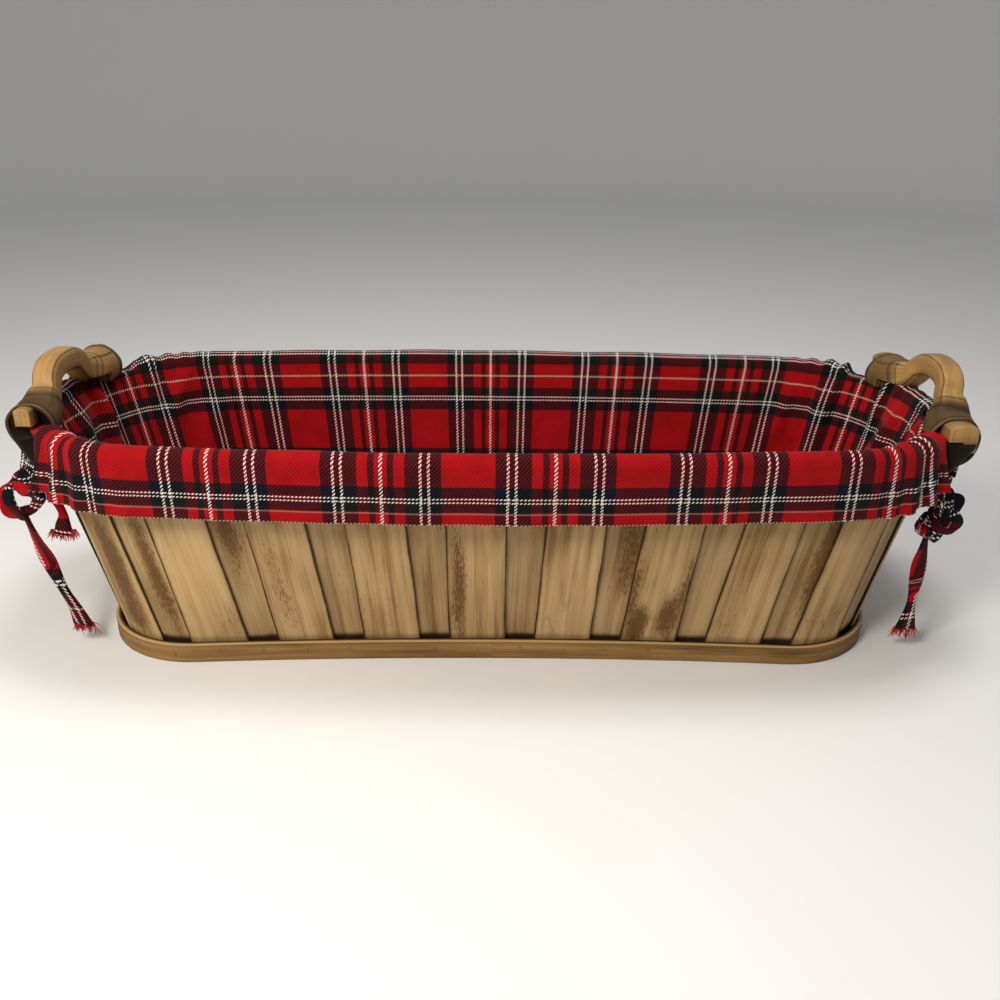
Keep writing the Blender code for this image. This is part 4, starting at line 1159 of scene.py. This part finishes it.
def squared_rings(centre, side, half, squareness):
    """Rings of a bar: direction cos and sin over the n-th root of |cos|^n + |sin|^n, times the half size."""
    along = unit(np.gradient(centre, axis=0))
    across = unit(side - along * (along @ side)[:, None])
    upwards = np.cross(along, across)
    turn = FULL_TURN * np.arange(BAR_COLUMNS) / BAR_COLUMNS
    power = squareness[:, None]
    size = half[:, None] * (np.abs(np.cos(turn)) ** power + np.abs(np.sin(turn)) ** power) ** (-1 / power)
    sideways = across[:, None] * (np.cos(turn) * size)[..., None]
    return centre[:, None] + sideways + upwards[:, None] * (np.sin(turn) * size)[..., None]


def knee_plane(handle):
    """How far out along X the knees' middles stand: past the outer rim hoop where the legs come down."""
    leg = 0.25 - LEG_REACH / RIM_ROUND
    return float(wall(leg, RIM_HEIGHT, GAP + RIM_HOOP_THICKNESS + handle.knee_out)[0])


def over_the_rim(points, handle):
    """Lifts the parts of a handle that would lie in the wall to just above the rim, or above the cloth's
    fold near the middle, so the handle sits over the wall."""
    near_middle = np.abs(points[..., 1]) < FOLD_CLEAR_HALF
    floor = np.where(near_middle, FOLD_CLEAR_HEIGHT, SLAT_TOP + GAP)
    inside = handle.sign * points[..., 0] - knee_plane(handle) < WALL_CLEARANCE
    points[..., 2] = np.where(inside, np.maximum(points[..., 2], floor), points[..., 2])
    return points


def bar_keys(knee_height, knee_radius):
    """Rows from the middle of the arch to a knee: reach, height, half size, squareness and how much the
    bar has flared. The bar is square and the knee is round."""
    arch = ARCH_TOP - BAR_HALF
    knee = knee_radius - KNEE_UNDERCUT
    start = KNEE_REACH - KNEE_INSET
    rows = []
    for share, drop in ARCH_SHARES:
        rows.append((share * ARCH_HALF_WIDTH, arch - 2 * BAR_HALF * drop, BAR_HALF, BAR_SQUARENESS, 0.0))
    for out, down, size, rounded in FLARE_SHARES:
        reach = NECK_REACH + (start - NECK_REACH) * out
        height = NECK_HEIGHT + (knee_height - NECK_HEIGHT) * down
        squareness = BAR_SQUARENESS - (BAR_SQUARENESS - ROUND_SQUARENESS) * rounded
        rows.append((reach, height, BAR_HALF + (knee - BAR_HALF) * size, squareness, rounded))
    rows.append((start, knee_height, knee, ROUND_SQUARENESS, 1.0))
    return np.array(rows)


def make_handle(handle):
    """A bent bamboo handle: a squared bar bent to an arch that flares into a round knee at each side, each
    knee's end hollowed a little and painted near black as shade, with a raised double ring, a cut block and a
    tongue down the wall."""
    radius = KNEE_RADIUS * handle.round_share
    near = bar_keys(handle.knee_height, radius)
    far = bar_keys(handle.knee_height + handle.far_rise, radius)
    keys = np.vstack([near[:0:-1] * np.array([-1, 1, 1, 1, 1]), far])
    reach, height, half, squareness, flared = smooth_through(keys, 12).T
    climb = ARCH_TOP - handle.knee_height
    lean = handle.lean * grow(height, handle.knee_height, climb)
    centre = np.stack([handle.sign * (knee_plane(handle) + lean), reach, height], axis=-1)
    wobble = [bumps(reach * 30, 0.0, 4), 0 * reach, bumps(reach * 26, 1.0, 9)]
    centre += BAR_WOBBLE * np.stack(wobble, axis=-1)
    rings = squared_rings(centre, handle.sign * RIGHT, half, squareness)
    shrink = np.array(END_SHRINK)[:, None, None]
    inward = np.array(END_INWARD)[:, None, None] * np.array([0.0, 1.0, 0.0])
    near_end = centre[0] + (rings[0] - centre[0]) * shrink + inward
    far_end = centre[-1] + (rings[-1] - centre[-1]) * shrink - inward
    points = over_the_rim(np.concatenate([near_end[::-1], rings, far_end]), handle)
    # The far knee's paler skin is painted light
    kept = np.where(reach > 0, handle.far_painted_light_skin, 1.0) * np.clip(flared * 5 - 1.7, 0, 1)
    skin = np.concatenate([np.ones(3), kept, np.ones(3)])[:, None]
    scored = 0.8 * bell(flared - 0.36, 0.035) + 0.7 * bell(flared - 0.62, 0.03)
    # The near black in the knees' hollow ends is painted shade; the scored lines near the knee are char
    char_and_shade = np.concatenate([[1, 1, 0.6], scored, [0.6, 1, 1]])[:, None]
    length = np.pad(path_length(centre), 3, mode="edge")[:, None]
    turn = np.linspace(0, 1, BAR_COLUMNS + 1)[None, :]
    corner = np.abs((turn * 4) % 1.0 - 0.5)
    grain = grids(turn * BAR_ROUND, length + BAR_GRAIN_STEP * handle.sign)
    maps = {"place": grain, "share": grids(corner, length)}
    masks = {"skin": skin, "char_and_shade": char_and_shade}
    stand_for(grid_piece(f"{handle.name}_bar", points, maps, BAMBOO, masks=masks), handle.name)
    for way, face in ((-1, "front"), (1, "back")):
        rise = handle.far_rise * (way > 0)
        out = knee_plane(handle) + handle.lean * rise / climb
        knee = SimpleNamespace(way=way, out=out, height=handle.knee_height + rise, radius=radius)
        make_knee_ring(f"{handle.name}_{face}_ring", handle, knee)
        make_cut_block(f"{handle.name}_{face}_block", handle, knee)
        make_tongue(f"{handle.name}_{face}_tongue", handle, way)


def make_knee_ring(name, handle, knee):
    """Two beads round the knee's end, with a dark groove between: a profile of radii and reaches turned
    about the knee's axis."""
    cell = np.linspace(0, FULL_TURN, RING_ROWS, endpoint=False)
    turn = np.linspace(0, FULL_TURN, RING_COLUMNS, endpoint=False)[None, :]
    bead = RING_BEAD * (0.55 + 0.45 * np.abs(np.cos(cell)))
    radius = (knee.radius - RING_SINK + 1.4 * bead * np.sin(cell))[:, None]
    radius = radius * (1 + 0.012 * np.sin(3 * turn + knee.way) + 0.008 * np.sin(7 * turn))
    reach = (KNEE_REACH + RING_HALF_WIDTH * np.cos(cell))[:, None]
    x = handle.sign * knee.out + radius * np.cos(turn)
    points = over_the_rim(grids(x, knee.way * reach, knee.height + radius * np.sin(turn)), handle)
    turns = np.linspace(0, 1, RING_COLUMNS + 1)[None, :]
    cells = np.linspace(0, 1, RING_ROWS + 1)[:, None]
    groove = np.maximum(bell(np.minimum(cell, FULL_TURN - cell), 0.3), bell(cell - 1.9, 0.35))[:, None]
    grain = grids(cells * RING_GIRTH, turns * RING_ROUND)
    maps = {"place": grain, "share": grids(np.ones_like(cells), turns)}
    masks = {"skin": 0.85, "char_and_shade": 0.9 * groove}
    made = grid_piece(name, points, maps, BAMBOO, "joined", masks=masks)
    stand_for(made, handle.name)


def make_cut_block(name, handle, knee):
    """The cut end in the ring: a block with an arched top, its front edge eased. The block's own values are
    how far out and up its middle lies from the knee's, and its half width, half height and front reach."""
    block = handle.block
    across = np.linspace(-1, 1, BLOCK_POINTS)
    top = 0.55 + 0.45 * np.sqrt(1 - 0.92 * across**2)
    profile_x = np.concatenate([across, across[::-1]]) * block.half_width
    profile_z = np.concatenate([top, np.full(BLOCK_POINTS, -1.0)]) * block.half_height
    front = block.front
    reach = np.array([KNEE_REACH - BLOCK_BACK, front - BLOCK_EASE, front - BLOCK_TIP, front])[:, None]
    size = np.array([1.0, 1.0, 0.97, 0.90])[:, None]
    x = handle.sign * (knee.out + block.out + profile_x * size)
    z = knee.height + block.rise + profile_z * size
    points = over_the_rim(grids(x, knee.way * reach, z), handle)
    flat = points[..., [0, 2]]
    flat = np.concatenate([flat, flat[:, :1]], axis=1)
    masks = {"skin": np.array([0.7, 0.25, 0.0, 0.0])[:, None], "char_and_shade": 0.0}
    made = grid_piece(name, points, {"place": flat, "share": np.ones_like(flat)}, BAMBOO, masks=masks)
    stand_for(made, handle.name)


def tongue_thickness(handle, height):
    """A tongue's thickness at a height, by its table of shares."""
    places, shares = np.array(TONGUE_SHARES).T
    return handle.head * np.interp((height - TONGUE_FOOT) / (TONGUE_HEAD - TONGUE_FOOT), places, shares)


def make_tongue(name, handle, way):
    """The tongue down the outside of the wall: thin at the foot and thick at the head, its faces across by
    height, its sides and inner face painted near black as shade under the cut block, more so towards the
    head."""
    near = 2 * GAP + RIM_HOOP_THICKNESS
    share = np.linspace(0, 1, TONGUE_ROWS)[:, None]
    height = TONGUE_FOOT + (TONGUE_HEAD - TONGUE_FOOT) * share
    across = np.linspace(-1, 1, TONGUE_COLUMNS)[None, :]
    middle = handle.end + handle.sign * way * LEG_REACH / RIM_ROUND
    along = middle + across * TONGUE_WIDTH / 2 / RIM_ROUND
    crown = tongue_thickness(handle, height) * (1 - 0.18 * across**4)
    inner = wall(along, height, near)
    points = np.concatenate([wall(along, height, near + crown), inner[:, ::-1]], axis=1)
    place = grids(outer_and_inner(across * TONGUE_WIDTH / 2), height)
    # Painted shade under the cut block: near black towards the outer face's edges and over the inner face,
    # more towards the head
    sides = np.concatenate([np.clip(np.abs(across) * 2.4 - 0.55, 0, 1), np.ones((1, TONGUE_COLUMNS))], axis=1)
    masks = {"skin": 0.8, "char_and_shade": sides * (0.75 + 0.25 * share)}
    made = grid_piece(name, points, {"place": place, "share": np.ones_like(place)}, BAMBOO, masks=masks)
    stand_for(made, handle.name)


def strip(name, node, centre, wide, thick, closed=False, plump=0.0, drift=0.0):
    """A flat band of cloth: rings of a flattened superellipse round a centre line, with half width and
    half thickness vectors. Its pattern runs across by length, and slides across by drift past the middle,
    as it does where a ribbon twists."""
    turn = FULL_TURN * np.arange(STRIP_COLUMNS) / STRIP_COLUMNS
    side, up = np.cos(turn), np.sin(turn)
    size = (np.abs(side) ** 3 + np.abs(up) ** 3) ** (-1 / 3)
    fold = 1 + plump * np.cos(2 * turn)
    points = centre[:, None] + wide[:, None] * (side * size)[:, None]
    points = points + thick[:, None] * (up * size * fold)[:, None]
    half = np.linalg.norm(wide, axis=1)
    line = centre
    if closed:
        half = np.append(half, half[0])
        line = np.vstack([centre, centre[:1]])
    length = path_length(line)
    slid = drift * ease(grow(length / length[-1], 0.42, 0.2))
    shift_across, shift_down = TIE_PATTERNS[name]
    across = half[:, None] * np.append(side, side[0]) + shift_across + slid[:, None]
    cloth = grids(across, 0.78 * length[:, None] + shift_down)
    ends = "joined" if closed else "capped"
    made = grid_piece(name, points, {"cloth": cloth}, TIE_CLOTH, ends, masks={"hem": 0.0})
    stand_for(made, node)
    return made


def skirt_place(along, reach, height, beyond):
    """Points beyond the hanging skirt's middle surface, at a height."""
    drop = (RIM_HEIGHT - height) / SKIRT_DEPTH
    points = wall(along, RIM_HEIGHT, SKIRT_OUTSET + beyond + drop * SLIT_FLARE * flare_share(reach))
    points[..., 2] = height
    return points


def make_strap(name, handle, way, height):
    """The strap that draws a slit together, on the cloth at its ends and over the tongue between. Gives
    its middle, and three directions there: along the strap, outwards and up."""
    half = TONGUE_WIDTH / 2
    over_wood = [LEG_REACH - half, LEG_REACH, LEG_REACH + half]
    reaches = [SLIT_START - STRAP_OVERLAP, SLIT_START, *over_wood, SLIT_END, SLIT_END + STRAP_OVERLAP]
    reaches = np.array(reaches)
    along = handle.end + way * reaches / RIM_ROUND
    centre = skirt_place(along, reaches, height, CLOTH_THICKNESS / 2 + STRAP_STANDOFF)
    tongue = GAP + RIM_HOOP_THICKNESS + TONGUE_STANDOFF + tongue_thickness(handle, height + STRAP_WIDTH / 2)
    centre[2:5] = wall(along, height, tongue + STRAP_THICKNESS / 2)[2:5]
    line = smooth_through(centre, 6)
    side = unit(np.cross(np.gradient(line, axis=0), UP))
    ripple = 1 + 0.15 * np.sin(np.arange(len(line)) * 0.9)
    wide = UP * STRAP_WIDTH / 2 * ripple[:, None]
    strip(f"{name}_strap", name, line, wide, side * STRAP_THICKNESS / 2)
    direction = unit(centre[4] - centre[2])
    return centre[3], np.stack([direction, np.cross(direction, UP) * way, UP])


def make_knot(piece_name, node, centre, axes, shares, seed):
    """A knot of cloth: a ball whose radius swells and dips with slanted folds, stretched along three
    directions by shares of the knot's radius. Both poles close to a small ring."""
    sizes = np.array(shares) * KNOT_RADIUS
    up = np.linspace(0, math.pi, KNOT_ROWS)[:, None]
    turn = np.linspace(0, FULL_TURN, KNOT_COLUMNS, endpoint=False)[None, :]
    folds = 1 + 0.09 * np.sin(3 * turn + 4 * np.cos(up) + seed) * np.sin(up)
    folds = folds + 0.05 * np.sin(5 * turn - 6 * np.cos(up) + 2 * seed) * np.sin(up)
    ball = grids(np.sin(up) * np.cos(turn), np.sin(up) * np.sin(turn), np.cos(up)) * folds[..., None]
    for pole, beside in ((0, 1), (-1, -2)):
        ball[pole] = ball[pole].mean(0) + 0.01 * (ball[beside] - ball[beside].mean(0))
    points = centre + (ball * sizes) @ axes
    turns = np.linspace(0, 1, KNOT_COLUMNS + 1)[None, :]
    radius = float(np.mean(sizes))
    shift_across, shift_down = TIE_PATTERNS[piece_name]
    cloth = grids(0.7 * radius * np.sin(FULL_TURN * turns) + shift_across, up * radius + shift_down)
    made = grid_piece(piece_name, points, {"cloth": cloth}, TIE_CLOTH, masks={"hem": 0.0})
    stand_for(made, node)


def make_fray(piece_name, node, line, backset, side, width, length, count, seed):
    """Loose yarns at a cut end: thin tapering four-sided strands that fan out and curl, from a little
    before the end of a centre line."""
    direction = unit(line[-1] - line[-4])
    root = line[-1] - direction * backset
    random = np.random.default_rng(seed)
    spread = random.uniform(-0.9, 0.9, count)
    reach = length * random.uniform(0.35, 1.0, count)
    share = np.linspace(0, 1, YARN_POINTS)
    curl = random.uniform(-0.5, 0.5, count)[:, None] * share**2
    out = np.cross(direction, side)
    lines = root + side * (spread * width)[:, None, None] * (1 + 0.25 * share[None, :, None])
    lines = lines + direction * (reach[:, None] * share)[..., None] + side * (curl * length * 0.5)[..., None]
    lines = lines + out * (random.uniform(-0.3, 0.3, count)[:, None] * share * length)[..., None]
    turn = np.arange(4) * math.pi / 2
    thin = YARN_RADIUS * (1 - 0.6 * share)[None, :, None, None]
    ring = side * np.cos(turn)[:, None] + out * np.sin(turn)[:, None]
    made = joined_piece(piece_name, lines[:, :, None] + ring * thin, RED_YARN)
    stand_for(made, node)
    return made


def hanging(name, node, place, axes, table, face=RIGHT, drift=0.0):
    """A hanging end: a smooth curve through shares of the knot's radius along, out and up, its half width
    and thickness from the same table. It leaves flat on the strap and soon turns its width to face."""
    line = smooth_through(np.array(table) * KNOT_RADIUS, 8)
    centre = place + line[:, :3] @ axes
    face = face * math.copysign(1, axes[0] @ face)
    share = np.clip(np.linspace(0, 2.5, len(line)), 0, 1)[:, None]
    side = axes[0] * (1 - share) + face * share
    side = unit(side + 0.18 * UP * np.sin(np.linspace(0, 5, len(line)))[:, None])
    out = unit(np.cross(side, np.gradient(centre, axis=0)))
    made = strip(name, node, centre, side * line[:, 3:4], out * line[:, 4:5], drift=drift)
    return made, centre


def make_tail(name, place, axes, table, drift, seed):
    """A long loose end that hangs as a limp cord, with its frayed yarns."""
    made, centre = hanging(f"{name}_cloth", name, place, axes, table, drift=drift)
    width = table[-1][3] * KNOT_RADIUS
    fray_name = f"{name}_fray"
    fray = make_fray(fray_name, name, centre, FRAY_BACKSET, RIGHT, width, TAIL_FRAY_LENGTH, 60, seed)


def make_loop(name, node, centre, first, second, half_sizes):
    """An open loop of cloth: first times cosine plus second times sine, rippled, and its band rolls as it
    goes, its half width and half thickness given."""
    turn = np.linspace(0, FULL_TURN, LOOP_POINTS, endpoint=False)[:, None]
    ray = np.cos(turn) * first + np.sin(turn) * second
    normal = unit(np.cross(first, second))
    ripple = 1 + 0.10 * np.sin(3 * turn + 1.0) + 0.05 * np.sin(5 * turn)
    line = centre + ray * ripple + normal * LOOP_TWIST * np.sin(2 * turn)
    inward = unit(ray)
    roll = 0.55 * np.sin(2 * turn + 0.6)
    wide = (inward * np.cos(roll) + normal * np.sin(roll)) * (1 + 0.25 * np.sin(2 * turn + 0.6))
    thick = (normal * np.cos(roll) - inward * np.sin(roll)) * (1 + 0.25 * np.sin(3 * turn))
    strip(name, node, line, wide * half_sizes[0], thick * half_sizes[1], closed=True, plump=0.1)


def beside_knot(place, axes, shares):
    """A point at shares of the knot's radius along, out and up from the strap's middle."""
    return place + np.array(shares) * KNOT_RADIUS @ axes


def make_left_tie():
    """The front left bow: strap, knot, one open loop, a band, a red tassel and the long tail."""
    node = "tie_bow_left"
    place, axes = make_strap(node, LEFT_HANDLE, 1, LEFT_STRAP_HEIGHT)
    knot = beside_knot(place, axes, (0.0, 0.95, 0.0))
    make_knot(f"{node}_knot", node, knot, axes, KNOT_SHARES, 0.4)
    shares, first, second = LEFT_LOOP
    centre = beside_knot(place, axes, shares)
    first, second = (np.array(row) * KNOT_RADIUS for row in (first, second))
    make_loop(f"{node}_loop", node, centre, first, second, LEFT_LOOP_HALF_SIZES)
    hanging(f"{node}_band", node, place, axes, LEFT_BAND_SHARES)
    _, line = hanging(f"{node}_tassel", node, place, axes, LEFT_TASSEL_SHARES)
    make_fray(f"{node}_fray", node, line, TASSEL_BACKSET, RIGHT, TASSEL_FRAY, TASSEL_FRAY, 110, 5)
    make_tail("tie_tail_left", place, axes, LEFT_TAIL_SHARES, LEFT_TAIL_DRIFT, 8)


def make_right_tie():
    """The front right knot: strap, a dark cluster of folds and small loops, and the long tail."""
    node = "tie_knot_right"
    place, axes = make_strap(node, RIGHT_HANDLE, -1, RIGHT_STRAP_HEIGHT)
    for index, (shares, sizes) in enumerate(RIGHT_FOLDS):
        centre = beside_knot(place, axes, shares)
        make_knot(f"{node}_fold_{index + 1}", node, centre, axes, sizes, index * 1.7)
    for index, (shares, first, second) in enumerate(RIGHT_LOOPS):
        centre = beside_knot(place, axes, shares)
        first, second = (np.array(row) * KNOT_RADIUS for row in (first, second))
        make_loop(f"{node}_loop_{index + 1}", node, centre, first, second, RIGHT_LOOP_HALF_SIZES)
    make_tail("tie_tail_right", place, axes, RIGHT_TAIL_SHARES, RIGHT_TAIL_DRIFT, 21)


def make_back_tie(node, handle, way):
    """A tie at the back: strap, knot and two short ends."""
    place, axes = make_strap(node, handle, way, BACK_STRAP_HEIGHT)
    knot = beside_knot(place, axes, (0.0, 0.95, 0.0))
    make_knot(f"{node}_knot", node, knot, axes, KNOT_SHARES, 2.2)
    for side, lean in (("near", 1), ("far", -1)):
        table = [(lean * row[0], *row[1:]) for row in BACK_TAIL_SHARES]
        _, line = hanging(f"{node}_end_{side}", node, place, axes, table, axes[0])
        sizes = (BACK_FRAY_WIDTH, BACK_FRAY_LENGTH)
        make_fray(f"{node}_fray_{side}", node, line, FRAY_BACKSET, axes[0], *sizes, 26, 3)


def make_stage():
    """A pale round table that curves up into a low wall: a profile of radii and heights, flat, then a
    quarter circle, then upright, turned about Z."""
    turn = np.linspace(0, FULL_TURN, 97)[None, :]
    bend = np.linspace(0, math.pi / 2, 16)
    far = TABLE_REACH + TABLE_BEND
    radius = np.concatenate([[0.0, TABLE_REACH], TABLE_REACH + TABLE_BEND * np.sin(bend), [far]])[:, None]
    height = np.concatenate([[0.0, 0.0], TABLE_BEND - TABLE_BEND * np.cos(bend), [TABLE_WALL_TOP]])[:, None]
    points = grids(radius * np.cos(turn), radius * np.sin(turn), height)
    rows, columns = points.shape[:2]
    corner_rows, corner_columns = cell_corners(rows - 1, columns - 1)
    quads = (corner_rows * columns + corner_columns).reshape(-1, 4)[:, ::-1]
    mesh = new_mesh("table", points, quads.tolist())
    mesh.shade_smooth()
    top, _, shader = new_material("table_top", 0.6)
    shader.inputs["Base Color"].default_value = TABLE_WHITE
    mesh.materials.append(top)
    new_object("table", mesh)


def make_lights():
    """A warm key light above the front, a broad one from the left, one overhead, and a pale surround."""
    for name, (place, size, power, colour) in LIGHTS.items():
        data = bpy.data.lights.new(name, "AREA")
        data.size = size
        data.energy = power
        data.color = colour
        lamp = new_object(name, data)
        away = Vector(place) - Vector(LIGHT_AIM)
        turned = away.to_track_quat("Z", "Y").to_matrix().to_4x4()
        lamp.matrix_world = Matrix.Translation(place) @ turned
    world = bpy.data.worlds.new("surround")
    world.use_nodes = True
    background = world.node_tree.nodes["Background"]
    background.inputs[0].default_value = SURROUND
    background.inputs[1].default_value = SURROUND_STRENGTH
    bpy.context.scene.world = world
    bpy.context.scene.view_settings.view_transform = "Standard"


def dress_nodes():
    """The hidden wood under the cloth and the floor panel keep their CAD shape and get wood."""
    woods = {"rim_hoop_outer": RIM_WOOD, "rim_hoop_inner": RIM_WOOD, "floor_panel": PANEL_WOOD}
    for name, material in woods.items():
        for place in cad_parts[name].material_slots:
            place.material = material


make_camera()
make_left_tie()
make_right_tie()
make_back_tie("tie_back_left", LEFT_HANDLE, -1)
make_back_tie("tie_back_right", RIGHT_HANDLE, 1)
make_liner()
make_liner_floor()
make_slats()
make_hoop()
make_brads()
make_handle(LEFT_HANDLE)
make_handle(RIGHT_HANDLE)
dress_nodes()
make_stage()
make_lights()
bpy.context.view_layer.update()
